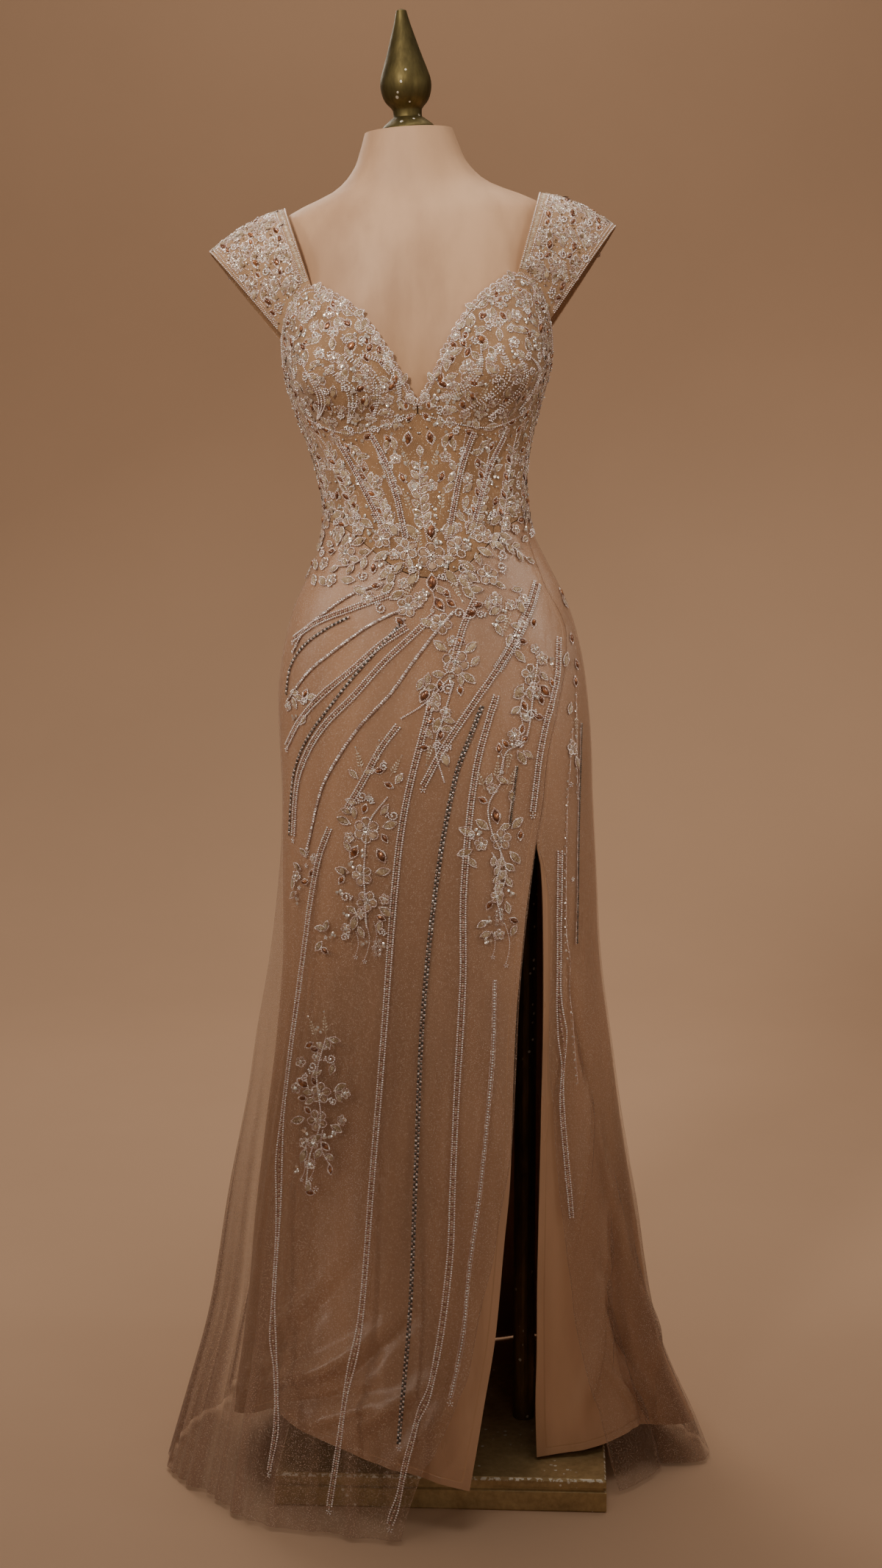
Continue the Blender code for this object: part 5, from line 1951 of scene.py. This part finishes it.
@dataclass
class Course:
    """A line on a ground, read by its length in millimetres.

    Attributes:
        ground: What it lies on.
        line: Its places, both parameters.
    """

    ground: Ground
    line: Array

    def __post_init__(self) -> None:
        """Measures the line."""
        self.ends = lengths_along(self.ground.at(self.line[:, 0], self.line[:, 1]))

    @classmethod
    def through(cls, ground: Ground, p: Array, q: Array) -> "Course":
        """The line through these values of the two parameters."""
        return cls(ground, np.stack(np.broadcast_arrays(p, q), axis=-1))

    def at(self, marks: Array) -> Array:
        """Both parameters at so many millimetres along the line."""
        return walk(self.line, self.ends, marks)

    def beaded(self, tray: Tray, *rows: Row, share: float = 1.0) -> None:
        """Lays rows of parts along the line, or along the first share of it."""
        for row in rows:
            marks = np.arange(row.pitch / 2, share * self.ends[-1], row.pitch) + row.slip
            p, q = self.at(marks)
            wide, high = self.ground.metric(p, q)
            run_x, run_y = (self.at(marks + 1.5) - self.at(marks - 1.5)) * (wide, high)
            size = np.maximum(np.hypot(run_x, run_y), 1e-9)
            p, q = p + row.aside * run_y / size / wide, q - row.aside * run_x / size / high
            turn = np.degrees(np.arctan2(-run_x, run_y))
            tray.run(row.kind, p, q, turn, row.width, row.length, row.out)


class BeadWork:
    """Bands on the skirt and the boned strips on the corset."""

    def build(self) -> list[Thing]:
        """Beads all bands and bones."""
        left, right = (Tray(Body(True, beyond, ALL_CREASES, True), 11 + beyond) for beyond in (False, True))
        named = [band for band in BANDS if band.node and not band.beyond]
        for band in BANDS:
            tray = right if band.beyond else left
            Course(tray.ground, on_front(band.line)).beaded(tray, *BEADING[band.weight])
        self.tops(left, named)
        bones = Tray(Body(over_cloth=True), 13)
        for line in BONES.values():
            Course(bones.ground, on_front(line)).beaded(bones, *BEADING[Weight.BONE])
        return [
            left.pour("band_beading", [band.node for band in named]),
            right.pour("band_beading_right", ["band_right"]),
            bones.pour("bone_beading", list(BONES)),
        ]

    def tops(self, tray: Tray, bands: Sequence[Band]) -> None:
        """The sweep's broader head of crystals and each band's last bead."""
        sweep = Course(tray.ground, on_front(next(band.line for band in bands if band.node == "band_sweep")))
        sides = [Row(Kind.CRYSTAL, 2.6, 2.3, 2.3, side) for side in (-4.6, 4.6)]
        sweep.beaded(tray, *sides, share=0.42)
        for band in bands:
            x, height = band.line[-1]
            tray.lay(star(7.0), float(angle_at(x, height)), height - 4.0)


# ---- sprays and embroidery -------------------------------------------------------------------------
class Spot(NamedTuple):
    """A motif's name, its x and height on the front, its turn and its size."""

    motif: str
    x: float
    height: float
    turn: float = 0.0
    size: float = 1.0


def motif_book() -> dict[str, Motif]:
    """Every motif that the tables name."""
    return {
        "flower": flower(24),
        "bloom": flower(30, 6),
        "bud": flower(15),
        "leaf": leaf(17, 8.2),
        "stoned": leaf(17, 9.6, True),
        "small leaf": Motif().join(leaf(13, 6.4), 0, -6.5),
        "small stone": Motif().join(marquise(11, 6.4), 0, -5.5),
        "small bud": flower(12),
        "small curl": Motif().join(curl(9), 0, -4),
        "coins": coins(),
        "stone": marquise(),
        "sprig": sprig(26, 5),
        "vine": branch(112, 17, 6),
        "slim vine": branch(92, 14, -4, False),
        "curl": curl(),
        "star": star(6),
        "drop": dangler(),
        "long drop": dangler(44, 5),
        "rings": ring_rows(),
        "feather": feather(),
        "short branch": branch(38, 4, 5),
        "twig": branch(46, 5, -6, False),
    }


SKIRT_SPOTS = rows_of(
    Spot,
    # below the waist's point, between the fan and the sweep
    ("bloom", 16, 946, 10), ("leaf", 26, 956, -50), ("leaf", 6, 958, 50), ("leaf", 24, 934, -130),
    ("short branch", 8, 936, 152), ("stoned", -14, 918, 150), ("bud", -8, 900, 0), ("leaf", -2, 886, 160),
    ("stone", 0, 874, 172), ("sprig", -10, 862, 165), ("leaf", 2, 850, -165), ("curl", 10, 924, -150),
    # right hip
    ("flower", 99, 930, 5), ("bud", 111, 946, 0), ("leaf", 92, 944, 40), ("stoned", 108, 918, -140),
    ("leaf", 90, 920, 140), ("short branch", 94, 914, 168), ("curl", 104, 892, 180), ("bud", 80, 866, 0),
    ("sprig", 76, 852, 168), ("leaf", 84, 848, -150), ("drop", 66, 846, 0, 0.7), ("coins", 100, 930),
    ("coins", 106, 908), ("coins", 94, 888), ("coins", 70, 1000), ("coins", 84, 974), ("coins", 60, 986),
    ("bud", 90, 986, 0, 0.8), ("leaf", 77, 974, 150, 0.8), ("leaf", 66, 1004, 120), ("sprig", 76, 996, 150),
    ("leaf", 82, 1010, 200), ("bud", 60, 1012),
    # left thigh
    ("sprig", -72, 834, -12), ("sprig", -56, 822, -30), ("sprig", -86, 826, 14), ("curl", -90, 792, 20),
    ("curl", -60, 778, -30), ("bloom", -82, 762, 0), ("leaf", -64, 766, -70), ("leaf", -100, 768, 70),
    ("stoned", -92, 744, 150), ("stoned", -70, 742, -150), ("flower", -87, 712, 20),
    ("leaf", -72, 716, -80), ("leaf", -102, 714, 80), ("flower", -82, 684, 40), ("leaf", -68, 678, -120),
    ("curl", -98, 688, 150), ("leaf", -94, 668, 165), ("long drop", -84, 664, 0), ("drop", -74, 662, 0),
    ("drop", -94, 650, 0), ("rings", -70, 640, 0),
    # right thigh
    ("sprig", 60, 816, -8), ("sprig", 72, 808, -28), ("sprig", 48, 808, 22), ("flower", 66, 752, 0),
    ("bud", 44, 748, 0), ("leaf", 52, 764, 50), ("leaf", 36, 760, 70), ("stoned", 62, 770, 10),
    ("leaf", 78, 764, -50), ("leaf", 34, 742, 110), ("twig", 66, 738, 176), ("twig", 56, 738, 190, 0.8),
    ("leaf", 76, 738, -140), ("bud", 62, 690, 0), ("rings", 64, 674, 0), ("long drop", 70, 660, 0),
    ("drop", 56, 652, 0),
    # knee
    ("sprig", -128, 532, 10), ("sprig", -138, 528, 30), ("curl", -130, 506, -20), ("curl", -146, 490, 30),
    ("flower", -134, 470, 0), ("leaf", -120, 474, -60), ("stoned", -148, 474, 60),
    ("flower", -138, 440, 30), ("leaf", -124, 436, -110), ("leaf", -152, 440, 110), ("bud", -142, 416, 0),
    ("short branch", -132, 430, 196), ("leaf", -150, 408, 165), ("drop", -142, 404, 0),
    ("drop", -152, 396, 0, 0.8), ("star", -140, 366, 0),
    # small ones about the hips
    ("leaf", -160, 890, 30, 0.8), ("stoned", -152, 902, -30, 0.7), ("star", -150, 716, 0, 0.8),
    ("star", -158, 690, 0, 0.8), ("star", -128, 640, 0, 0.7),
)
STEMS = (
    ((-58, 800), (-78, 772), (-84, 730), (-84, 690), (-82, 655)),
    ((66, 815), (52, 790), (56, 760), (66, 735), (60, 700), (66, 664)),
    ((10, 930), (-14, 905), (-43, 885)),
    ((14, 925), (2, 885), (-6, 855), (4, 815)),
    ((105, 945), (100, 900), (92, 860), (72, 848), (64, 822)),
    ((-128, 530), (-138, 490), (-134, 440), (-146, 400), (-150, 370)),
)
RIGHT_SPOTS = rows_of(
    Spot,
    ("stone", 148, 1006, 8), ("leaf", 142, 996, 30, 0.8), ("stone", 146, 958, -6), ("leaf", 140, 950, 150),
    ("stone", 152, 930, 4), ("stone", 150, 912, 0), ("leaf", 144, 896, 160, 0.8), ("sprig", 150, 884, 172),
    ("flower", 146, 846, 0, 0.7), ("leaf", 150, 836, -165, 0.8), ("star", 144, 806, 0),
    ("star", 147, 700, 0, 0.8),
)
GARLAND_SPOTS = rows_of(
    Spot,
    ("bloom", -10, 1058, 0, 1.05), ("flower", -37, 1066, 15), ("flower", 18, 1067, -15),
    ("flower", -64, 1078, 10, 0.9), ("flower", 45, 1080, -10, 0.9), ("bud", -90, 1088), ("bud", 70, 1089),
    ("stoned", -10, 1040, 180, 1.1), ("leaf", -24, 1044, 145, 1.2), ("leaf", 4, 1044, -145, 1.2),
    ("leaf", -40, 1052, 130, 1.1), ("leaf", 20, 1053, -130, 1.1), ("leaf", -58, 1064, 125),
    ("leaf", 40, 1066, -125), ("leaf", -82, 1078, 115), ("leaf", 62, 1080, -115),
    ("stoned", -10, 1076, 0, 1.2), ("leaf", -24, 1076, 35, 1.2), ("leaf", 5, 1076, -35, 1.2),
    ("leaf", -46, 1082, 40), ("leaf", 28, 1082, -40), ("leaf", -74, 1090, 55), ("leaf", 54, 1090, -55),
    ("curl", -48, 1048, 170), ("curl", 28, 1050, 190), ("sprig", -30, 1036, 160), ("sprig", 10, 1036, -160),
    ("coins", -60, 1060), ("coins", -96, 1078), ("coins", 30, 1068), ("coins", 66, 1074),
    ("coins", -22, 1050), ("coins", 6, 1050), ("coins", -118, 1084), ("coins", 92, 1082),
    ("drop", -10, 1024, 0, 0.8), ("stone", -104, 1092, 80), ("stone", 84, 1092, -80),
    ("twig", -72, 1068, 118), ("twig", 52, 1072, -118),
)


class Cell(NamedTuple):
    """A motif on both halves of the bodice: its angle off the front, height, turn and size."""

    motif: str
    angle: float
    height: float
    turn: float = 0.0
    size: float = 1.0


CUP_CELLS = rows_of(
    Cell,
    ("feather", 8, 1226, -38, 1.1), ("feather", 20, 1212, -18, 1.3), ("feather", 33, 1206, -4, 1.25),
    ("feather", 50, 1212, 14, 1.1), ("flower", 20, 1252, 0, 0.95), ("stoned", 10, 1240, 14, 0.9),
    ("bloom", 45, 1322, 0, 0.8), ("leaf", 32, 1322, 60), ("leaf", 58, 1312, -70), ("stone", 34, 1300, 20),
    ("bud", 28, 1306, 0), ("leaf", 21, 1296, 24), ("stoned", 52, 1284, -20), ("leaf", 42, 1266, 8),
    ("curl", 34, 1272, 20), ("flower", 37, 1248, 0, 0.8), ("leaf", 29, 1248, 40), ("leaf", 47, 1240, -40),
    ("stone", 38, 1218, 0), ("curl", 54, 1240, -30), ("sprig", 58, 1258, -14), ("flower", 60, 1296, 0, 0.8),
    ("leaf", 63, 1270, -24), ("sprig", 26, 1220, -8), ("stone", 15, 1272, 14), ("leaf", 58, 1218, -50),
    ("bud", 61, 1238, 0), ("stoned", 26, 1276, 40), ("stone", 45, 1300, -30), ("leaf", 14, 1226, -70),
    ("bud", 12, 1264, 0, 0.8), ("leaf", 37, 1330, 15), ("leaf", 52, 1330, -20), ("stone", 24, 1238, 60),
    ("stone", 50, 1220, 30), ("leaf", 6, 1216, -25, 0.8),
)
CORSET_CELLS = rows_of(
    Cell,
    ("vine", 20, 1066, -19), ("vine", 44, 1080, -12), ("vine", 72, 1096, -5), ("sprig", 5, 1064, 6),
    ("leaf", 9, 1082, -30, 0.8), ("sprig", 8, 1104, -12), ("bud", 5, 1134, 0, 0.8),
    ("leaf", 12, 1126, -40, 0.8), ("sprig", 6, 1150, -14), ("stoned", 5, 1192, 190, 0.9),
    ("leaf", 14, 1188, 165, 0.9), ("bud", 13, 1164, 0, 0.8), ("stone", 17, 1190, 150),
    ("leaf", 18, 1172, 20, 0.8), ("stone", 30, 1100, 30), ("stone", 32, 1150, 10), ("bud", 46, 1188, 0),
    ("stone", 58, 1120, 20), ("bud", 60, 1160, 0), ("stoned", 60, 1200, -10), ("stone", 84, 1130, 0),
    ("bud", 86, 1180, 0, 0.9), ("leaf", 70, 1222, 20), ("flower", 76, 1246, 0, 0.8),
    ("leaf", 88, 1226, -20), ("stone", 66, 1250, 10), ("leaf", 33, 1192, -70, 0.9), ("stone", 28, 1186, 60),
    ("leaf", 72, 1270, 10, 0.8),
)
BELT = ("leaf", "flower", "stoned", "leaf", "bud", "stone", "leaf", "curl")
# How far above the waist seam each row of the belt runs, and between which angles.
BELT_ROWS = (
    (17, -100, 100), (4, -97, 97), (-9, -94, 92), (-22, -88, 76), (-35, -96, 40), (-48, -92, 24),
    (-60, -90, -48),
)
# Rows of seeds on the corset's seams: the seam, and the heights between which they run.
SEAM_BEADS = ((INNER_SEAM, 1062.0, 1198.0), (OUTER_SEAM, 1092.0, 1290.0), (SIDE_SEAM, 1092.0, 1262.0))
# Rows along a strap, each at its share of the strap's width, then what is strewn between them:
# the part, how many and how wide.
STRAP_EDGE, STRAP_CORD = Row(Kind.BEAD, 2.2, 1.9, 1.9, out=0.7), Row(Kind.SEED, 1.7, 1.4, 1.4, out=0.7)
STRAP_ROWS = (
    (0.015, STRAP_EDGE), (0.13, STRAP_EDGE), (0.955, STRAP_EDGE), (0.99, STRAP_EDGE),
    (0.07, Row(Kind.STITCH, 1.7, 7.0, 1.5, out=0.7)), (0.16, STRAP_CORD), (0.92, STRAP_CORD),
)
STRAP_STREWN = ((Kind.SEED, 700, 2.2), (Kind.BRONZE, 320, 2.4), (Kind.SEQUIN, 230, 3.4))
STRAP_MOTIFS = ("leaf", "curl", "bud", "stone", "leaf", "flower", "leaf", "bud", "stoned")
FILLERS = ("small leaf", "small stone", "small leaf", "small bud", "coins", "small leaf", "small curl")


@dataclass
class Embroidery:
    """Beaded sprays on the skirt, the waist, the bodice and the straps.

    Attributes:
        pitch: From motif to motif where they cover the bodice.
        cover_span: The heights between which they may cover it.
        edge_pitch: The width of one arch of the lace edge.
        belt_pitch: Degrees from motif to motif round the waist seam.
        about: How far from a motif the small ones about it lie.
    """

    pitch: float = 7.5
    cover_span: tuple[float, float] = (1050.0, 1345.0)
    edge_pitch: float = 9.0
    belt_pitch: float = 4.6
    about: tuple[float, float] = (7.0, 15.0)
    book: dict[str, Motif] = field(default_factory=motif_book)

    def spots(self, tray: Tray, spots: Sequence[Spot], out: float = 0.0, fill: int = 0) -> None:
        """Lays a table of motifs on the front.

        Args:
            tray: What they are laid in.
            spots: The table.
            out: How far above the cloth they start.
            fill: How many small motifs try to fill the gaps about each.
        """
        random = np.random.default_rng(len(spots))
        x, height = np.array([(spot.x, spot.height) for spot in spots], float).T
        for spot, angle in zip(spots, angle_at(x, height)):
            tray.lay(self.book[spot.motif], float(angle), spot.height, spot.turn, spot.size, out)
        count = fill * len(spots)
        way, reach = random.uniform(0, 2 * math.pi, count), random.uniform(*self.about, count)
        level = np.repeat(height, fill) + reach * np.sin(way)
        angles = angle_at(np.repeat(x, fill) + reach * np.cos(way), level)
        for number, (angle, high) in enumerate(zip(angles, level)):
            if tray.free(float(angle), float(high), 4.0):
                name = FILLERS[number % len(FILLERS)]
                tray.lay(self.book[name], float(angle), float(high), (number * 97) % 360, 1.0, out)

    def skirt(self) -> list[Thing]:
        """The sprays on the tulle and the garland over the waist seam."""
        front = Tray(Body(True, False, ALL_CREASES, True), 21)
        for line in STEMS:
            Course(front.ground, on_front(line)).beaded(front, Row(Kind.BEAD, 2.1, 2.6, 2.3))
        self.spots(front, SKIRT_SPOTS, fill=7)
        sprays = ("hip_left", "hip_right", "thigh_left", "thigh_right", "knee")
        right = Tray(Body(True, True, ALL_CREASES, True), 22)
        self.spots(right, RIGHT_SPOTS)
        waist = Tray(Body(True, False, (), True), 23)
        self.spots(waist, GARLAND_SPOTS, 1.2, 5)
        self.belt(waist, 24, 0.6)
        return [
            front.pour("spray_beading", ["applique_" + name for name in sprays]),
            right.pour("spray_beading_right"),
            waist.pour("waist_garland", ["applique_waist_left", "applique_waist_right"]),
        ]

    def belt(self, tray: Tray, seed: int, out: float) -> None:
        """A dense band of motifs over the waist seam and down on the hips."""
        random = np.random.default_rng(seed)
        for row, (drop, first, last) in enumerate(BELT_ROWS):
            for number, angle in enumerate(np.arange(first, last, self.belt_pitch)):
                slip, rise, spin = random.uniform(-1, 1, 3)
                place = float(angle + slip)
                level = float(waist_height(place)) + drop + 3 * rise
                name = BELT[(number * 3 + row * 2) % len(BELT)]
                lean = math.copysign(1, place) * (-96 + 40 * row + 34 * spin)
                if tray.free(place, level, 5.0):
                    tray.lay(self.book[name], place, level, lean, 1.0, out)

    def both(
        self, tray: Tray, name: str, angle: float, height: float, turn: float, size: float, out: float = 0.0
    ) -> None:
        """Lays a motif on both sides of the front alike."""
        for sign in (1, -1):
            tray.lay(self.book[name], sign * angle, height, sign * turn, size, out)

    def cover(self, tray: Tray, first: float, last: float, seed: int, reach: float, low: float = 0.0) -> None:
        """Fills the gaps on a stretch of the bodice with small motifs, on both sides alike.

        Args:
            tray: What they are laid in.
            first: The angle where they begin.
            last: The angle where they end.
            seed: Starts the random choices.
            reach: How far each keeps from what is there.
            low: The lowest height to cover.
        """
        random = np.random.default_rng(seed)
        number = 0
        for height in np.arange(*self.cover_span, self.pitch * 0.87):
            half = float(read_rows(SECTIONS, height)[1])
            for angle in np.arange(first, last, math.degrees(self.pitch / half)):
                slip, rise, spin = random.uniform(-1, 1, 3)
                place, level = float(angle + 1.5 * slip), float(height + rise * 2.5)
                top = float(read_rows(TOP_EDGE, min(place, 180.0))[0]) - 8
                foot = max(float(waist_height(place)) + 18, low)
                if foot < level < top and tray.free(place, level, reach):
                    number += 1
                    self.both(tray, FILLERS[number % len(FILLERS)], place, level, spin * 180, 1.0, 0.2)

    def bodice(self) -> list[Thing]:
        """The corset, the cups and their lace edge, then the back."""
        ground = Body(over_cloth=True)
        corset, cups, back = Tray(ground, 31), Tray(ground, 32), Tray(ground, 33)
        for line in BONES.values():
            corset.marks.append(on_front(line))
        corset.lay(self.book["slim vine"], 0.0, 1074.0)
        for tray, cells in ((cups, CUP_CELLS), (corset, CORSET_CELLS)):
            for cell in cells:
                self.both(tray, *cell)
        self.lace_edge(cups, 0.0, 69.0)
        self.lace_edge(back, 69.0, 180.0)
        for sign in (1, -1):
            angle = np.linspace(0.8, 62.0, 120) * sign
            under = read_rows(UNDERBUST, np.abs(angle))[0]
            Course.through(ground, angle, under).beaded(cups, Row(Kind.BEAD, 2.3, 2.3, 2.2))
            for seam, low, top in SEAM_BEADS:
                level = np.linspace(low, top, 80)
                line = Course.through(ground, sign * seam.angle(level), level)
                line.beaded(corset, Row(Kind.SEED, 1.9, 2.0, 1.9))
            for kind, turn in ((Kind.BEAD, 76.0), (Kind.JET, 88.0)):
                string = Course.through(ground, sign * turn, np.linspace(1104.0, 1264.0, 60))
                string.beaded(corset, Row(kind, 2.4, 1.9, 1.9))
        self.cover(back, 97.0, 180.0, 42, 6.5)
        self.cover(cups, 3.0, 68.0, 43, 7.4, 1206.0)
        self.cover(corset, 12.0, 97.0, 44, 5.8)
        self.sprinkle(corset, 0, 95, 300, 51)
        self.sprinkle(back, 95, 180, 260, 52)
        return [
            corset.pour("corset_embroidery"), cups.pour("cup_embroidery"), back.pour("back_embroidery"),
        ]

    def sprinkle(self, tray: Tray, first: float, last: float, count: int, seed: int) -> None:
        """Scatters sequins and crystals at random among the motifs, on both sides."""
        random = np.random.default_rng(seed)
        angle = random.uniform(first, last, count)
        foot, top = waist_height(angle) + 5, read_rows(TOP_EDGE, angle)[0] - 5
        height = between(foot, top, random.uniform(0, 1, count))
        for sign in (1, -1):
            half = count // 2
            tray.run(Kind.SEQUIN, sign * angle[:half], height[:half], 0.0, 4.0, 4.0, 0.9)
            # The scattered crystals' near-white colour stands in for sparkle: painted glints.
            tray.run(Kind.CRYSTAL, sign * angle[half:], height[half:], 0.0, 2.5, 2.5, 1.2)

    def lace_edge(self, tray: Tray, first: float, last: float) -> None:
        """Arches, beads and small leaves along the bodice's top edge."""
        angle = np.linspace(max(first, 0.6), last, 400)
        course = Course.through(tray.ground, angle, read_rows(TOP_EDGE, angle)[0] - 1.5)
        arch = scallop(self.edge_pitch)
        for number in range(int(course.ends[-1] / self.edge_pitch)):
            mark = (number + 0.5) * self.edge_pitch
            p, q = course.at(mark)
            wide, high = tray.ground.metric_at(p, q)
            run_x, run_y = (course.at(mark + 3) - (p, q)) * (wide, high)
            turn = math.degrees(math.atan2(run_y, run_x))
            for sign in (1, -1):
                tray.lay(arch, sign * p, q, sign * turn)
                if number % 2 and last < 90:
                    name = ("bud", "leaf", "leaf", "flower")[number // 2 % 4]
                    lean = sign * (turn - 35 + 60 * (number % 3))
                    tray.lay(self.book[name], sign * p, q - 4, lean, 0.72, 0.5)
                if number % 3 == 2 and last < 90:
                    tray.lay(self.book["stone"], sign * p, q - 14, sign * (turn + 120), 0.8)
        for sign in (1, -1):
            line = course.line * (sign, 1)
            Course(tray.ground, line).beaded(tray, Row(Kind.BEAD, 2.3, 2.3, 2.2))
            Course(tray.ground, line - (0.0, 3.6)).beaded(tray, Row(Kind.SEED, 1.9, 1.8, 1.8))

    def strap(self, sign: int) -> Thing:
        """One strap: a ribbed binding, beaded edges and dense beads between."""
        tray = Tray(CapStrap(sign), 60 + sign)
        random = np.random.default_rng(70 + sign)
        line = even(np.linspace(0.02, 0.98, 260))
        for p, row in STRAP_ROWS:
            Course.through(tray.ground, p, line).beaded(tray, row)
        for kind, count, width in STRAP_STREWN:
            p = random.uniform(0.17, 0.93, count)
            q = even(random.uniform(0.02, 0.98, count))
            tray.run(kind, p, q, random.uniform(0, 180, count), width, width, 0.7)
        for number, place in enumerate(even(np.linspace(0.02, 0.98, 150))):
            name = STRAP_MOTIFS[number % len(STRAP_MOTIFS)]
            across = 0.22 + 0.16 * (number * 3 % 5) + random.uniform(-0.03, 0.03)
            tray.lay(self.book[name], across, float(place), (number * 67) % 150 - 75, 0.8, 0.8)
        return tray.pour("strap_beading_" + ("left" if sign < 0 else "right"))

    def build(self) -> list[Thing]:
        """Lays all of it."""
        return self.skirt() + self.bodice() + [self.strap(-1), self.strap(1)]


# ---- floor, light and camera ----------------------------------------------------------------------------
@dataclass
class Studio:
    """A pale sweep, soft lights and the camera.

    Attributes:
        eye: Where the camera stands, in metres.
        pitch: How far it looks down.
        lens: Its focal length.
        size: The sweep's width and length, in metres.
        start: Where the sweep begins, in front.
        flat: How long its floor is.
        bend: The radius of its curve.
    """

    eye: tuple[float, float, float] = (-0.007, -2.61, 1.2)
    pitch: float = 8.8
    lens: float = 53.48
    size: float = 14.0
    start: float = -5.5
    flat: float = 7.6
    bend: float = 1.4

    def sweep(self) -> Thing:
        """The floor that curves up to a backdrop."""
        sweep, across, run = grid("studio_sweep", 2, 60)
        run = run * self.size
        turn = np.clip((run - self.flat) / self.bend, 0.0, math.pi / 2)
        past = np.maximum(run - self.flat - self.bend * math.pi / 2, 0.0)
        y = self.start + np.minimum(run, self.flat) + self.bend * np.sin(turn)
        z = self.bend * (1 - np.cos(turn)) + past
        set_points(sweep, np.stack(((across - 0.5) * self.size, y, z), axis=-1) / MM)
        smooth(sweep)
        sweep.data.materials.append(PAPER_FINISH.make())
        sweep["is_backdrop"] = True
        return sweep

    def lamp(
        self, name: str, place: tuple, aim: tuple, size: float, power: float, warm: float, cone: float = 0.0
    ) -> None:
        """Hangs one soft lamp.

        Args:
            name: Its name.
            place: Where it hangs, in metres.
            aim: What it is turned to.
            size: How broad it is.
            power: In watts.
            warm: 0 for white to 1 for warm.
            cone: Its cone in degrees where it is a spot, 0 for a broad lamp.
        """
        data = bpy.data.lights.new(name, "SPOT" if cone else "AREA")
        data.energy, data.color = power, (1.0, 1.0 - 0.12 * warm, 1.0 - 0.28 * warm)
        if cone:
            data.spot_size, data.spot_blend, data.shadow_soft_size = math.radians(cone), 1.0, size
        else:
            data.shape, data.size = "DISK", size
        lamp = bpy.data.objects.new(name, data)
        lamp.location = place
        lamp.rotation_euler = (Vector(aim) - Vector(place)).to_track_quat("-Z", "Y").to_euler()
        bpy.context.scene.collection.objects.link(lamp)

    def camera(self) -> None:
        """Sets up the camera."""
        data = bpy.data.cameras.new("camera")
        data.sensor_fit, data.sensor_height, data.lens = "VERTICAL", 36.0, self.lens
        camera = bpy.data.objects.new("camera", data)
        camera.location = self.eye
        camera.rotation_euler = (math.radians(90 - self.pitch), 0, 0)
        bpy.context.scene.collection.objects.link(camera)
        bpy.context.scene.camera = camera

    def build(self) -> None:
        """Sets the whole studio."""
        self.sweep()
        self.camera()
        self.lamp("key", (-1.3, -2.5, 2.7), (0, 0, 1.47), 0.3, 280, 0.75, 35.0)
        self.lamp("fill", (1.7, -2.5, 2.0), (0, 0, 1.25), 0.4, 48, 0.7, 42.0)
        self.lamp("left side", (-2.4, -0.5, 2.0), (-0.1, 0, 1.02), 0.4, 85, 0.7, 27.0)
        self.lamp("right side", (2.4, -0.6, 1.9), (0.1, 0, 0.95), 0.4, 90, 0.7, 28.0)
        self.lamp("low", (-1.7, -1.9, 0.9), (-0.13, -0.1, 0.14), 0.2, 95, 0.7, 8.0)
        self.lamp("top", (0.1, -0.5, 3.1), (0, 0, 1.2), 1.0, 10, 0.3)
        self.lamp("backdrop", (0.0, 1.0, 3.4), (0, 2.6, 0.6), 2.4, 38, 0.8)
        self.lamp("rim", (-1.2, 2.2, 2.6), (0, 0, 1.0), 1.2, 20, 0.6)
        world = bpy.data.worlds.new("soft room")
        world.use_nodes = True
        world.node_tree.nodes["Background"].inputs[0].default_value = tone(1.0, 0.84, 0.68)
        world.node_tree.nodes["Background"].inputs[1].default_value = 0.18
        bpy.context.scene.world = world


def main() -> None:
    """Builds the gown on its form and sets it in the studio."""
    logging.basicConfig(level=logging.INFO, format="%(message)s")
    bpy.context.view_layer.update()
    for assembly in (Stand(), Bodice(), Skirt(), BeadWork(), Embroidery()):
        for piece in assembly.build():
            LOG.info("%s: %s", type(assembly).__name__, piece.name)
    Studio().build()
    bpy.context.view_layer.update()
    meshes = [piece.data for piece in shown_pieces() if piece.type == "MESH"]
    LOG.info("triangles: %d", sum(len(face.vertices) - 2 for mesh in meshes for face in mesh.polygons))


if __name__ == "__main__":
    main()
